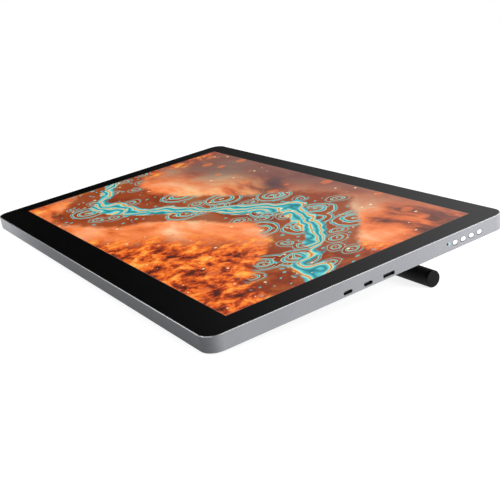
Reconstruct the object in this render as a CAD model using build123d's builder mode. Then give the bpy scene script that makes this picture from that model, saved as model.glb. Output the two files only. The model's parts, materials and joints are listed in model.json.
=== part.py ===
from build123d import *
from math import asin, cos, radians, sin, sqrt
import os

os.makedirs("parts", exist_ok=True)

# Driving sizes, in millimetres and degrees.
# X runs along the long edge, Y from the user's edge to the rear, Z up from the desk.
# Depths are counted downwards from the top of the glass.
picture_w = 476.1
picture_d = 267.8
border_side = 25.3
border_front = 32.9
border_rear = 22.2
corner_r = 14.0
tilt_deg = 11.5
tilt = radians(tilt_deg)

# Section of the side frame
wall_t = 2.2
rim_w = 0.7
ledge_w = 3.2
shelf_t = 2.0
lip_t = 1.2
edge_chamfer = 0.45
base_chamfer = 0.4

# Layers, from the glass down to the back cover
glass_t = 2.0
tape_t = 0.2
lcd_t = 1.6
panel_frame_t = 2.6
digitizer_t = 0.8
shield_t = 0.3
chassis_t = 0.8
standoff_h = 0.3
board_t = 1.0
usb_h = 3.2
under_port_gap = 0.4
cover_t = 1.4

lcd_top = glass_t + tape_t
light_top = lcd_top + lcd_t
digitizer_top = light_top + panel_frame_t
shield_top = digitizer_top + digitizer_t
chassis_top = shield_top + shield_t
chassis_bottom = chassis_top + chassis_t
board_top = chassis_bottom + standoff_h
board_bottom = board_top + board_t
port_depth = board_bottom + usb_h / 2
cover_inside = board_bottom + usb_h + under_port_gap
body_t = cover_inside + cover_t
shelf_bottom = lcd_top + shelf_t

# Clearances
slip = 0.05
fit_gap = 0.12
button_gap = 0.25

half_w = picture_w / 2 + border_side
front_y = -picture_d / 2 - border_front
rear_y = picture_d / 2 + border_rear
body_w = 2 * half_w
body_d = rear_y - front_y
body_mid_y = (front_y + rear_y) / 2

# Right edge: ports from the middle of the body, status light and buttons from its rear
hdmi_offset = 18.35
hdmi_pitch = 22.8
usb_pitch = 21.7
hdmi_y = body_mid_y + hdmi_offset
usb_rear_y = hdmi_y - hdmi_pitch
usb_front_y = usb_rear_y - usb_pitch
usb_mouth_w = 9.6
hdmi_mouth_w = 12.8
mouth_h = 3.6
last_button_gap = 35.65
button_pitch = 9.95
button_w = 6.2
button_h = 4.1
button_depth = 8.4
led_lead = 9.1
led_depth = 7.5
button_names = ("power", "menu", "minus", "plus")
button_count = len(button_names)
last_button_y = rear_y - last_button_gap
button_ys = [last_button_y + (index + 1 - button_count) * button_pitch for index in range(button_count)]
led_y = button_ys[0] - led_lead

# Stand: hinge line and foot bar, and the leg that folds the bar against its rest pads
hinge_side_gap = 133.35
hinge_offset = 39.65
hinge_drop = 8.0
bar_side_gap = 48.45
bar_rear_gap = 48.2
sleeve_r = 8.6
rest_pad_t = 1.0
hinge_x = half_w - hinge_side_gap
hinge_y = body_mid_y - hinge_offset
bar_half_l = half_w - bar_side_gap
folded_y = rear_y - bar_rear_gap
fold_drop = rest_pad_t + sleeve_r - hinge_drop
leg_l = sqrt((folded_y - hinge_y) ** 2 + fold_drop**2)

# The front feet are long low mounds, so they meet the desk at any tilt.
foot_w = 8.0
foot_drop = 2.2
foot_l = 110.0
foot_side_gap = 113.35
foot_inset = 7.9
foot_r = (foot_w**2 / 4 + foot_drop**2) / (2 * foot_drop)
foot_x = half_w - foot_side_gap
foot_y = front_y + foot_inset

# The body lies on the desk at its working tilt, centred over the origin.
deck_h = foot_r - foot_y * sin(tilt) + (body_t + foot_drop - foot_r) * cos(tilt)
front_reach = front_y * cos(tilt) + edge_chamfer * sin(tilt)
rear_reach = rear_y * cos(tilt) + (body_t - base_chamfer) * sin(tilt)
deck = Plane(
    origin=(0, -(front_reach + rear_reach) / 2, deck_h),
    x_dir=(1, 0, 0),
    z_dir=(0, -sin(tilt), cos(tilt)),
)
deck_up = Axis(deck.origin, deck.z_dir)

# Sections across the body: local X is the body's Y, local Y its height above the glass.
section = Plane(origin=deck.origin, x_dir=deck.y_dir, z_dir=(1, 0, 0))
right_face = section.offset(half_w)
wall_inside = section.offset(half_w - wall_t)


def body_outline(inset=0):
    """Rounded outline of the body, drawn in by a margin on every side."""
    with Locations((0, body_mid_y)):
        RectangleRounded(body_w - 2 * inset, body_d - 2 * inset, corner_r - inset)


def seats_below(depth, places):
    """Places that face down at a depth, for points given from above."""
    under = Plane(origin=deck.offset(-depth).origin, x_dir=deck.x_dir, z_dir=-deck.z_dir)
    return [under * Pos(x, -y) for x, y in places]


# Bosses inside the side frame: long ones take the cover's screws, short ones the chassis.
# Those on the sides stand just clear of the main board's two ends.
boss_reach = 6.4
boss_root = 0.4
boss_w = 7.0
boss_inset = wall_t + boss_reach / 2
board_end_margin = 22.0
board_front_y = usb_front_y - board_end_margin
board_rear_y = hdmi_y + board_end_margin
boss_board_gap = 1.0
long_boss_shares = (-0.43, -0.145, 0.145, 0.43)
short_boss_shares = (-0.29, 0.0, 0.29)
side_short_share = -0.33
side_rows = (board_front_y - boss_board_gap - boss_w / 2, board_rear_y + boss_board_gap + boss_w / 2)
edge_rows = (front_y + boss_inset, rear_y - boss_inset)
side_columns = (-half_w + boss_inset, half_w - boss_inset)
long_bosses = [(share * body_w, y) for share in long_boss_shares for y in edge_rows]
long_bosses += [(x, y) for x in side_columns for y in side_rows]
short_bosses = [(share * body_w, y) for share in short_boss_shares for y in edge_rows]
short_bosses += [(x, body_mid_y + side_short_share * body_d) for x in side_columns]
small_screw_r = 0.9
small_screw_bite = 2.6

# Posts on the right wall that carry the button board
post_r = 2.2
post_overhang = 6.4
post_ys = (led_y - post_overhang, button_ys[-1] + post_overhang + button_w / 2)
switch_t = 1.9
switch_gap = 1.3
flange_t = 0.8
flange_gap = 0.1
button_board_x = half_w - wall_t - flange_gap - flange_t - switch_gap - switch_t
post_l = half_w - wall_t - button_board_x
led_hole_r = 0.6
led_sink_r = 1.5


def boss_blocks(places):
    """Square bosses that run a little into the wall beside them."""
    for x, y in places:
        along_side = abs(x) >= half_w - boss_inset
        with Locations((x, y)):
            if along_side:
                Rectangle(boss_reach + 2 * boss_root, boss_w)
            else:
                Rectangle(boss_w, boss_reach + 2 * boss_root)


# Side frame: one milled ring with a ledge for the glass
with BuildPart() as side_frame:
    with BuildSketch(deck):
        body_outline()
    extrude(amount=-body_t)
    chamfer(side_frame.faces().sort_by(deck_up)[-1].edges(), edge_chamfer)
    chamfer(side_frame.faces().sort_by(deck_up)[0].edges(), base_chamfer)
    with BuildSketch(deck):
        body_outline(rim_w)
    extrude(amount=-lcd_top, mode=Mode.SUBTRACT)
    with BuildSketch(deck):
        body_outline(rim_w + ledge_w)
    extrude(amount=-body_t, mode=Mode.SUBTRACT)
    with BuildSketch(deck.offset(-shelf_bottom)):
        body_outline(wall_t)
    extrude(amount=shelf_bottom - body_t, mode=Mode.SUBTRACT)
    with BuildSketch(deck.offset(-cover_inside)):
        body_outline(lip_t)
    extrude(amount=-cover_t, mode=Mode.SUBTRACT)
    with BuildSketch(deck.offset(-shelf_bottom)):
        boss_blocks(long_bosses)
    extrude(amount=shelf_bottom - cover_inside)
    with BuildSketch(deck.offset(-shelf_bottom)):
        boss_blocks(short_bosses)
    extrude(amount=shelf_bottom - chassis_top)
    with BuildSketch(wall_inside):
        with Locations(*[(y, -button_depth) for y in post_ys]):
            Circle(post_r)
    extrude(amount=-post_l)
    with BuildSketch(deck.offset(-cover_inside)):
        with Locations(*long_bosses):
            Circle(small_screw_r + slip)
    extrude(amount=small_screw_bite, mode=Mode.SUBTRACT)
    with BuildSketch(deck.offset(-chassis_top)):
        with Locations(*short_bosses):
            Circle(small_screw_r + slip)
    extrude(amount=small_screw_bite, mode=Mode.SUBTRACT)
    with BuildSketch(section.offset(button_board_x)):
        with Locations(*[(y, -button_depth) for y in post_ys]):
            Circle(small_screw_r + slip)
    extrude(amount=small_screw_bite, mode=Mode.SUBTRACT)
    with BuildSketch(right_face):
        with Locations((usb_front_y, -port_depth), (usb_rear_y, -port_depth)):
            SlotOverall(usb_mouth_w, mouth_h)
        with Locations((hdmi_y, -port_depth)):
            RectangleRounded(hdmi_mouth_w, mouth_h, mouth_h / 4)
        with Locations(*[(y, -button_depth) for y in button_ys]):
            SlotOverall(button_w + 2 * button_gap, button_h + 2 * button_gap)
    extrude(amount=-wall_t, mode=Mode.SUBTRACT)
    with Locations(right_face * Pos(led_y, -led_depth)):
        CounterSinkHole(led_hole_r, led_sink_r, wall_t)
side_frame.part.label = "side_frame"
export_step(side_frame.part, "parts/side_frame.step")

# Cover glass: flat pane, flush with the frame's rim
glass_chamfer = 0.2
with BuildPart() as cover_glass:
    with BuildSketch(deck):
        body_outline(rim_w + fit_gap)
    extrude(amount=-glass_t)
    chamfer(cover_glass.faces().sort_by(deck_up)[-1].edges(), glass_chamfer)
cover_glass.part.label = "cover_glass"
export_step(cover_glass.part, "parts/cover_glass.step")

# Edge tape: closed ring of adhesive between the glass and the frame's ledge
tape_margin = 0.5
with BuildPart() as edge_tape:
    with BuildSketch(deck.offset(-glass_t)):
        body_outline(rim_w + tape_margin)
        with Locations((0, body_mid_y)):
            tape_inset = rim_w + ledge_w - tape_margin
            RectangleRounded(
                body_w - 2 * tape_inset,
                body_d - 2 * tape_inset,
                corner_r - tape_inset,
                mode=Mode.SUBTRACT,
            )
    extrude(amount=-tape_t)
edge_tape.part.label = "edge_tape"
export_step(edge_tape.part, "parts/edge_tape.step")

# Screen stack: sheets that grow a little from the picture outwards
bond_margin = 2.5
lcd_side_margin = 4.0
lcd_front_margin = 6.0
lcd_rear_margin = 3.5
lcd_w = picture_w + 2 * lcd_side_margin
lcd_d = picture_d + lcd_front_margin + lcd_rear_margin
lcd_mid_y = (lcd_rear_margin - lcd_front_margin) / 2
with BuildPart() as optical_bond:
    with BuildSketch(deck.offset(-glass_t)):
        Rectangle(picture_w + 2 * bond_margin, picture_d + 2 * bond_margin)
    extrude(amount=-tape_t)
optical_bond.part.label = "optical_bond"
export_step(optical_bond.part, "parts/optical_bond.step")

with BuildPart() as lcd_panel:
    with BuildSketch(deck.offset(-lcd_top)):
        with Locations((0, lcd_mid_y)):
            Rectangle(lcd_w, lcd_d)
    extrude(amount=-lcd_t)
lcd_panel.part.label = "lcd_panel"
export_step(lcd_panel.part, "parts/lcd_panel.step")

# Panel frame: moulded ring round the backlight, under the edge of the LCD
panel_rail_w = 4.0
panel_overlap = 1.0
panel_frame_w = lcd_w + 2 * (panel_rail_w - panel_overlap)
panel_frame_d = lcd_d + 2 * (panel_rail_w - panel_overlap)
light_w = lcd_w - 2 * panel_overlap
light_d = lcd_d - 2 * panel_overlap
with BuildPart() as panel_frame:
    with BuildSketch(deck.offset(-light_top)):
        with Locations((0, lcd_mid_y)):
            RectangleRounded(panel_frame_w, panel_frame_d, panel_rail_w / 2)
            Rectangle(light_w, light_d, mode=Mode.SUBTRACT)
    extrude(amount=-panel_frame_t)
panel_frame.part.label = "panel_frame"
export_step(panel_frame.part, "parts/panel_frame.step")

# Backlight: LED bar along the user's edge, light guide, films above and reflector below
films_t = 0.6
reflector_t = 0.3
led_bar_d = 4.0
guide_t = panel_frame_t - films_t - reflector_t
sheet_w = light_w - 2 * fit_gap
sheet_d = light_d - 2 * fit_gap
guide_d = sheet_d - led_bar_d
guide_mid_y = lcd_mid_y + led_bar_d / 2
with BuildPart() as diffuser_films:
    with BuildSketch(deck.offset(-light_top)):
        with Locations((0, lcd_mid_y)):
            Rectangle(sheet_w, sheet_d)
    extrude(amount=-films_t)
diffuser_films.part.label = "diffuser_films"
export_step(diffuser_films.part, "parts/diffuser_films.step")

with BuildPart() as light_guide:
    with BuildSketch(deck.offset(-light_top - films_t)):
        with Locations((0, guide_mid_y)):
            Rectangle(sheet_w, guide_d)
    extrude(amount=-guide_t)
light_guide.part.label = "light_guide"
export_step(light_guide.part, "parts/light_guide.step")

led_strip_t = 1.0
led_count = 48
led_size = 3.0
with BuildPart() as led_bar:
    with BuildSketch(section.offset(-sheet_w / 2)):
        strip_y = lcd_mid_y - sheet_d / 2 + led_strip_t / 2
        with Locations((strip_y, -light_top - films_t - guide_t / 2)):
            Rectangle(led_strip_t, guide_t)
    extrude(amount=sheet_w)
    strip_front = lcd_mid_y - sheet_d / 2 + led_strip_t
    led_reach = led_bar_d - led_strip_t - fit_gap
    with BuildSketch(deck.offset(-light_top - films_t - guide_t / 4)):
        with Locations((0, strip_front + led_reach / 2)):
            with GridLocations(sheet_w / led_count, led_reach, led_count, 1):
                Rectangle(led_size, led_reach)
    extrude(amount=-guide_t / 2)
led_bar.part.label = "led_bar"
export_step(led_bar.part, "parts/led_bar.step")

with BuildPart() as reflector_sheet:
    with BuildSketch(deck.offset(-light_top - films_t - guide_t)):
        with Locations((0, lcd_mid_y)):
            Rectangle(sheet_w, sheet_d)
    extrude(amount=-reflector_t)
reflector_sheet.part.label = "reflector_sheet"
export_step(reflector_sheet.part, "parts/reflector_sheet.step")

# Pen sensing board with its shield behind it
with BuildPart() as digitizer_board:
    with BuildSketch(deck.offset(-digitizer_top)):
        with Locations((0, lcd_mid_y)):
            Rectangle(panel_frame_w, panel_frame_d)
    extrude(amount=-digitizer_t)
digitizer_board.part.label = "digitizer_board"
export_step(digitizer_board.part, "parts/digitizer_board.step")

with BuildPart() as shield_sheet:
    with BuildSketch(deck.offset(-shield_top)):
        with Locations((0, lcd_mid_y)):
            Rectangle(panel_frame_w, panel_frame_d)
    extrude(amount=-shield_t)
shield_sheet.part.label = "shield_sheet"
export_step(shield_sheet.part, "parts/shield_sheet.step")

# Main board under the chassis, at the right wall, long enough for its three ports
board_w = 66.0
board_wall_gap = 0.8
board_d = board_rear_y - board_front_y
board_mid_y = (board_front_y + board_rear_y) / 2
board_right_x = half_w - wall_t - board_wall_gap
board_mid_x = board_right_x - board_w / 2
board_screw_inset = 4.0
standoff_r = 2.4
board_screw_dx = board_w / 2 - board_screw_inset
board_screw_dy = board_d / 2 - board_screw_inset
board_screw_places = [
    (board_mid_x + sx * board_screw_dx, board_mid_y + sy * board_screw_dy)
    for sx in (-1, 1)
    for sy in (-1, 1)
]

# Flat cables
ribbon_t = 0.3
cable_w = 16.0
cable_x = board_mid_x - board_w / 4
slot_margin = 0.8
panel_front_y = lcd_mid_y - panel_frame_d / 2
sense_ribbon_w = 14.0
sense_ribbon_y = board_mid_y
sense_drop_x = panel_frame_w / 2 + 2 * slot_margin

# Chassis plate: sheet between the bosses that holds the stack up and the boards below
chassis_gap = 0.6
chassis_inset = wall_t + chassis_gap
button_notch_d = post_ys[1] - post_ys[0] + 4 * post_r
button_notch_y = (post_ys[0] + post_ys[1]) / 2
button_notch_reach = half_w - button_board_x + board_t + 2 * chassis_gap
boss_notch_w = boss_w + 2 * chassis_gap + 2 * boss_root
with BuildPart() as chassis_plate:
    with BuildSketch(deck.offset(-chassis_top)):
        body_outline(chassis_inset)
        with Locations(*long_bosses):
            Rectangle(boss_notch_w, boss_notch_w, mode=Mode.SUBTRACT)
        with Locations((half_w, button_notch_y)):
            Rectangle(2 * button_notch_reach, button_notch_d, mode=Mode.SUBTRACT)
        with Locations((cable_x, panel_front_y - slot_margin)):
            Rectangle(cable_w + 2 * slot_margin, 2 * slot_margin, mode=Mode.SUBTRACT)
        with Locations((sense_drop_x, sense_ribbon_y)):
            Rectangle(2 * slot_margin, sense_ribbon_w + 2 * slot_margin, mode=Mode.SUBTRACT)
        with Locations(*short_bosses):
            Circle(small_screw_r + slip, mode=Mode.SUBTRACT)
    extrude(amount=-chassis_t)
    with BuildSketch(deck.offset(-chassis_bottom)):
        with Locations(*board_screw_places):
            Circle(standoff_r)
    extrude(amount=-standoff_h)
    with BuildSketch(deck.offset(-board_top)):
        with Locations(*board_screw_places):
            Circle(small_screw_r + slip)
    extrude(amount=standoff_h + chassis_t, mode=Mode.SUBTRACT)
chassis_plate.part.label = "chassis_plate"
export_step(chassis_plate.part, "parts/chassis_plate.step")

screw_head_r = 1.8
screw_head_t = 1.0
recess_w = 0.5
recess_l = 2.2
recess_depth = 0.6


def cross_recess():
    """Cross recess for a driver, cut down from the place's surface."""
    sunk = (Align.CENTER, Align.CENTER, Align.MAX)
    Box(recess_w, recess_l, recess_depth, align=sunk, mode=Mode.SUBTRACT)
    Box(recess_l, recess_w, recess_depth, align=sunk, mode=Mode.SUBTRACT)


def pan_screws(seats, shank_l):
    """Round-headed screws whose heads stand on their seats, with shanks going in."""
    with Locations(*seats):
        Cylinder(screw_head_r, screw_head_t, align=(Align.CENTER, Align.CENTER, Align.MIN))
        Cylinder(small_screw_r, shank_l, align=(Align.CENTER, Align.CENTER, Align.MAX))
    with Locations(*[seat * Pos(0, 0, screw_head_t) for seat in seats]):
        cross_recess()


with BuildPart() as chassis_screws:
    pan_screws(seats_below(chassis_bottom, short_bosses), chassis_t + small_screw_bite - slip)
chassis_screws.part.label = "chassis_screws"
export_step(chassis_screws.part, "parts/chassis_screws.step")

with BuildPart() as main_board:
    with BuildSketch(deck.offset(-board_top)):
        with Locations((board_mid_x, board_mid_y)):
            RectangleRounded(board_w, board_d, board_t)
        with Locations(*board_screw_places):
            Circle(small_screw_r + slip, mode=Mode.SUBTRACT)
    extrude(amount=-board_t)
main_board.part.label = "main_board"
export_step(main_board.part, "parts/main_board.step")

# Chips under the main board: place and size as shares of the board
chip_shares = (
    (-0.22, 0.10, 0.22, 0.16),
    (0.05, 0.28, 0.15, 0.11),
    (0.02, -0.18, 0.15, 0.11),
    (-0.30, -0.28, 0.10, 0.14),
    (-0.02, 0.04, 0.09, 0.05),
    (-0.36, 0.34, 0.12, 0.05),
    (0.12, -0.38, 0.20, 0.05),
)
chip_t = 1.2
with BuildPart() as main_board_chips:
    with BuildSketch(deck.offset(-board_bottom)):
        for x_share, y_share, w_share, d_share in chip_shares:
            with Locations((board_mid_x + x_share * board_w, board_mid_y + y_share * board_d)):
                Rectangle(w_share * board_w, d_share * board_d)
    extrude(amount=-chip_t)
main_board_chips.part.label = "main_board_chips"
export_step(main_board_chips.part, "parts/main_board_chips.step")

# Ports: drawn shells that hang under the board and look into the frame's mouths
shell_t = 0.3
shell_l = 7.4
shell_recess = 0.9
usb_shell_w = 8.9
hdmi_shell_w = 11.6
tongue_t = 0.7
tongue_recess = 1.2
usb_tongue_w = 6.6
hdmi_tongue_w = 8.2
shell_mouth_x = half_w - shell_recess
shell_back_x = shell_mouth_x - shell_l
hdmi_shell_r = mouth_h / 5
for name, port_y in (("usb_c_shell_front", usb_front_y), ("usb_c_shell_rear", usb_rear_y)):
    with BuildPart() as usb_shell:
        with BuildSketch(section.offset(shell_back_x)):
            with Locations((port_y, -port_depth)):
                SlotOverall(usb_shell_w, usb_h)
        extrude(amount=shell_l)
        with BuildSketch(section.offset(shell_mouth_x)):
            with Locations((port_y, -port_depth)):
                SlotOverall(usb_shell_w - 2 * shell_t, usb_h - 2 * shell_t)
        extrude(amount=shell_t - shell_l, mode=Mode.SUBTRACT)
    usb_shell.part.label = name
    export_step(usb_shell.part, f"parts/{name}.step")

with BuildPart() as hdmi_shell:
    with BuildSketch(section.offset(shell_back_x)):
        with Locations((hdmi_y, -port_depth)):
            RectangleRounded(hdmi_shell_w, usb_h, hdmi_shell_r)
    extrude(amount=shell_l)
    with BuildSketch(section.offset(shell_mouth_x)):
        with Locations((hdmi_y, -port_depth)):
            RectangleRounded(hdmi_shell_w - 2 * shell_t, usb_h - 2 * shell_t, hdmi_shell_r - shell_t)
    extrude(amount=shell_t - shell_l, mode=Mode.SUBTRACT)
hdmi_shell.part.label = "hdmi_shell"
export_step(hdmi_shell.part, "parts/hdmi_shell.step")

with BuildPart() as port_tongues:
    with BuildSketch(section.offset(shell_back_x + shell_t)):
        with Locations((usb_front_y, -port_depth), (usb_rear_y, -port_depth)):
            Rectangle(usb_tongue_w, tongue_t)
        with Locations((hdmi_y, -port_depth)):
            Rectangle(hdmi_tongue_w, tongue_t)
    extrude(amount=shell_l - shell_t - tongue_recess)
port_tongues.part.label = "port_tongues"
export_step(port_tongues.part, "parts/port_tongues.step")

# Source board: strip on the chassis before the LCD, with films that fold down to it
strip_w_share = 0.86
strip_w = strip_w_share * body_w
strip_d = 7.0
strip_t = 0.7
film_reach = 1.2
strip_gap = 2.2
strip_rear_y = panel_front_y - strip_gap
with BuildPart() as source_board:
    with BuildSketch(deck.offset(-chassis_top)):
        with Locations((0, strip_rear_y - strip_d / 2)):
            Rectangle(strip_w, strip_d)
    extrude(amount=strip_t)
source_board.part.label = "source_board"
export_step(source_board.part, "parts/source_board.step")

film_count = 6
film_w = 26.0
film_t = 0.2
film_top = light_top - film_t
lcd_front_y = lcd_mid_y - lcd_d / 2
strip_face = chassis_top - strip_t
with BuildPart() as source_films:
    for index in range(film_count):
        film_x = (index + 1 / 2 - film_count / 2) * strip_w / film_count
        with BuildSketch(section.offset(film_x - film_w / 2)):
            with Locations((lcd_front_y - (lcd_front_y - strip_rear_y) / 2, -film_top)):
                Rectangle(lcd_front_y - strip_rear_y, film_t, align=(Align.CENTER, Align.MAX))
            with Locations((strip_rear_y, -film_top)):
                Rectangle(film_t, strip_face - film_top, align=(Align.MAX, Align.MAX))
            with Locations((strip_rear_y, -strip_face)):
                Rectangle(film_reach + film_t, film_t, align=(Align.MAX, Align.MIN))
        extrude(amount=film_w)
source_films.part.label = "source_films"
export_step(source_films.part, "parts/source_films.step")

# Display cable: from the source board through the chassis to the top of the main board
cable_y = panel_front_y - slot_margin
cable_end_y = board_front_y + 2 * board_screw_inset
with BuildPart() as display_cable:
    with BuildSketch(section.offset(cable_x - cable_w / 2)):
        with Locations((strip_rear_y - film_reach, -strip_face)):
            Rectangle(cable_y + film_reach - strip_rear_y, ribbon_t, align=(Align.MIN, Align.MIN))
        with Locations((cable_y, ribbon_t - strip_face)):
            Rectangle(ribbon_t, board_top - strip_face + ribbon_t, align=(Align.CENTER, Align.MAX))
        with Locations((cable_y, -board_top)):
            Rectangle(cable_end_y - cable_y, ribbon_t, align=(Align.MIN, Align.MIN))
    extrude(amount=cable_w)
display_cable.part.label = "display_cable"
export_step(display_cable.part, "parts/display_cable.step")

# Sensor ribbon: out of the sensing board's edge and down to the main board
sense_start_x = panel_frame_w / 2
cross = Plane(origin=deck.origin, x_dir=deck.x_dir, z_dir=-deck.y_dir)
with BuildPart() as digitizer_ribbon:
    with BuildSketch(cross.offset(-sense_ribbon_y - sense_ribbon_w / 2)):
        with Locations((sense_start_x, -digitizer_top)):
            Rectangle(sense_drop_x - sense_start_x, ribbon_t, align=(Align.MIN, Align.MAX))
        with Locations((sense_drop_x, -digitizer_top)):
            Rectangle(ribbon_t, board_top - digitizer_top, align=(Align.CENTER, Align.MAX))
    extrude(amount=sense_ribbon_w)
digitizer_ribbon.part.label = "digitizer_ribbon"
export_step(digitizer_ribbon.part, "parts/digitizer_ribbon.step")

# Button board: stands on the posts of the right wall
button_board_gap = 0.4
button_board_top = shelf_bottom + button_board_gap
button_board_bottom = cover_inside - button_board_gap
button_board_h = button_board_bottom - button_board_top
button_board_depth = (button_board_top + button_board_bottom) / 2
with BuildPart() as button_board:
    with BuildSketch(section.offset(button_board_x)):
        with Locations((button_notch_y, -button_board_depth)):
            Rectangle(post_ys[1] - post_ys[0] + 2 * post_r, button_board_h)
        with Locations(*[(y, -button_depth) for y in post_ys]):
            Circle(small_screw_r + slip, mode=Mode.SUBTRACT)
    extrude(amount=-board_t)
button_board.part.label = "button_board"
export_step(button_board.part, "parts/button_board.step")

board_back_x = button_board_x - board_t
board_back = Plane(origin=section.offset(board_back_x).origin, x_dir=deck.y_dir, z_dir=(-1, 0, 0))
post_seats = [board_back * Pos(y, button_depth) for y in post_ys]
with BuildPart() as board_screws:
    pan_screws(seats_below(board_bottom, board_screw_places), board_t + standoff_h + chassis_t - slip)
    pan_screws(post_seats, board_t + small_screw_bite - slip)
board_screws.part.label = "board_screws"
export_step(board_screws.part, "parts/board_screws.step")

# Button ribbon: stands on edge between the two boards
button_ribbon_start = button_ys[0]
button_ribbon_end = board_rear_y - board_screw_inset
ribbon_sag = 4.0
ribbon_floor = cover_inside - ribbon_t
with BuildPart() as button_ribbon:
    with BuildSketch(deck.offset(-board_bottom)):
        with Locations((board_back_x, button_ribbon_start)):
            Rectangle(ribbon_sag, ribbon_t, align=(Align.MAX, Align.CENTER))
        with Locations((board_back_x - ribbon_sag, button_ribbon_start + ribbon_t / 2)):
            Rectangle(ribbon_t, button_ribbon_start - button_ribbon_end, align=(Align.MIN, Align.MAX))
    extrude(amount=board_bottom - ribbon_floor)
button_ribbon.part.label = "button_ribbon"
export_step(button_ribbon.part, "parts/button_ribbon.step")

# Tact switches: each housing has a bore for its plunger
switch_w = 4.2
switch_h = 3.2
plunger_r = 1.0
plunger_l = 2.7
travel = 0.4
switch_bore_l = plunger_l - switch_gap + travel + slip
with BuildPart() as switch_housings:
    with BuildSketch(section.offset(button_board_x)):
        with Locations(*[(y, -button_depth) for y in button_ys]):
            Rectangle(switch_w, switch_h)
    extrude(amount=switch_t)
    with BuildSketch(section.offset(button_board_x + switch_t)):
        with Locations(*[(y, -button_depth) for y in button_ys]):
            Circle(plunger_r + slip)
    extrude(amount=-switch_bore_l, mode=Mode.SUBTRACT)
switch_housings.part.label = "switch_housings"
export_step(switch_housings.part, "parts/switch_housings.step")

# Buttons: a face through the wall, a flange behind it, and the plunger it presses
face_recess = 0.15
face_round = 0.3
flange_margin = 0.7
flange_back_x = half_w - wall_t - flange_gap - flange_t
for name, button_y in zip(button_names, button_ys):
    with BuildPart() as button:
        with BuildSketch(section.offset(flange_back_x)):
            with Locations((button_y, -button_depth)):
                SlotOverall(button_w + 2 * flange_margin, button_h + 2 * flange_margin)
        extrude(amount=flange_t)
        with BuildSketch(section.offset(flange_back_x + flange_t)):
            with Locations((button_y, -button_depth)):
                SlotOverall(button_w, button_h)
        extrude(amount=flange_gap + wall_t - face_recess)
        fillet(button.faces().sort_by(Axis.X)[-1].edges(), face_round)
    button.part.label = f"{name}_button"
    export_step(button.part, f"parts/{name}_button.step")
    with BuildPart() as plunger:
        with BuildSketch(section.offset(flange_back_x)):
            with Locations((button_y, -button_depth)):
                Circle(plunger_r)
        extrude(amount=-plunger_l)
    plunger.part.label = f"{name}_plunger"
    export_step(plunger.part, f"parts/{name}_plunger.step")

# Status light: chip on the button board and a clear rod through the wall
led_chip_w = 1.8
led_chip_t = 0.8
pipe_collar_r = 1.3
pipe_collar_t = 0.8
pipe_recess = 1.0
with BuildPart() as status_led:
    with BuildSketch(section.offset(button_board_x)):
        with Locations((led_y, -led_depth)):
            Rectangle(led_chip_w, led_chip_w)
    extrude(amount=led_chip_t)
status_led.part.label = "status_led"
export_step(status_led.part, "parts/status_led.step")

with BuildPart() as light_pipe:
    with BuildSketch(section.offset(button_board_x + led_chip_t)):
        with Locations((led_y, -led_depth)):
            Circle(led_hole_r - slip)
    extrude(amount=half_w - pipe_recess - button_board_x - led_chip_t)
    with BuildSketch(wall_inside.offset(-slip)):
        with Locations((led_y, -led_depth)):
            Circle(pipe_collar_r)
    extrude(amount=-pipe_collar_t)
light_pipe.part.label = "light_pipe"
export_step(light_pipe.part, "parts/light_pipe.step")

# Back cover: sheet in the frame's lip, with vents and a raised square for a bracket
vesa_pitch = 75.0
vesa_offset = 20.35
vesa_y = body_mid_y + vesa_offset
pad_margin = 10.0
pad_h = 1.0
pad_w = vesa_pitch + 2 * pad_margin
insert_r = 2.0
insert_collar_r = 3.0
insert_body_r = 4.0
insert_body_h = 3.6
vesa_places = [
    (sx * vesa_pitch / 2, vesa_y + sy * vesa_pitch / 2)
    for sx in (-1, 1)
    for sy in (-1, 1)
]
cover_head_r = 1.7
screw_angle = 90
hinge_screw_r = 1.5
hinge_screw_head_r = 2.8
hinge_screw_dx = 18.0
hinge_screw_dy = 8.5
hinge_places = [(side * hinge_x, hinge_y) for side in (-1, 1)]
hinge_screw_places = [
    (x + sx * hinge_screw_dx, y + sy * hinge_screw_dy)
    for x, y in hinge_places
    for sx in (-1, 1)
    for sy in (-1, 1)
]
vent_count = 14
vent_pitch = 7.0
vent_w = 1.8
vent_l = 16.0
vent_turn = 90
vent_inset = 27.0
vent_x_share = 0.26
vent_x = vent_x_share * body_w
vent_y = rear_y - vent_inset
with BuildPart() as back_cover:
    with BuildSketch(deck.offset(-cover_inside)):
        body_outline(lip_t + fit_gap)
    extrude(amount=-cover_t)
    with BuildSketch(deck.offset(-body_t)):
        with Locations((0, vesa_y)):
            RectangleRounded(pad_w, pad_w, pad_margin)
    extrude(amount=-pad_h)
    with BuildSketch(deck.offset(-cover_inside)):
        with Locations(*vesa_places):
            Circle(insert_collar_r)
        with Locations((-vent_x, vent_y), (vent_x, vent_y)):
            with GridLocations(vent_pitch, vent_l, vent_count, 1):
                SlotOverall(vent_l, vent_w, rotation=vent_turn)
        with Locations(*hinge_screw_places):
            Circle(hinge_screw_r + slip)
    extrude(amount=-cover_t - pad_h, mode=Mode.SUBTRACT)
    with Locations(*seats_below(body_t, long_bosses)):
        CounterSinkHole(small_screw_r + slip, cover_head_r + slip, cover_t, screw_angle)
back_cover.part.label = "back_cover"
export_step(back_cover.part, "parts/back_cover.step")


def flat_screws(seats, shank_r, head_r, length):
    """Countersunk screws, flush with the surface that they hold."""
    head_h = head_r - shank_r
    with Locations(*seats):
        Cylinder(shank_r, length, align=(Align.CENTER, Align.CENTER, Align.MAX))
        Cone(shank_r, head_r, head_h, align=(Align.CENTER, Align.CENTER, Align.MAX))
        cross_recess()


with BuildPart() as cover_screws:
    cover_seats = seats_below(body_t, long_bosses)
    flat_screws(cover_seats, small_screw_r, cover_head_r, cover_t + small_screw_bite - slip)
cover_screws.part.label = "cover_screws"
export_step(cover_screws.part, "parts/cover_screws.step")

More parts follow.
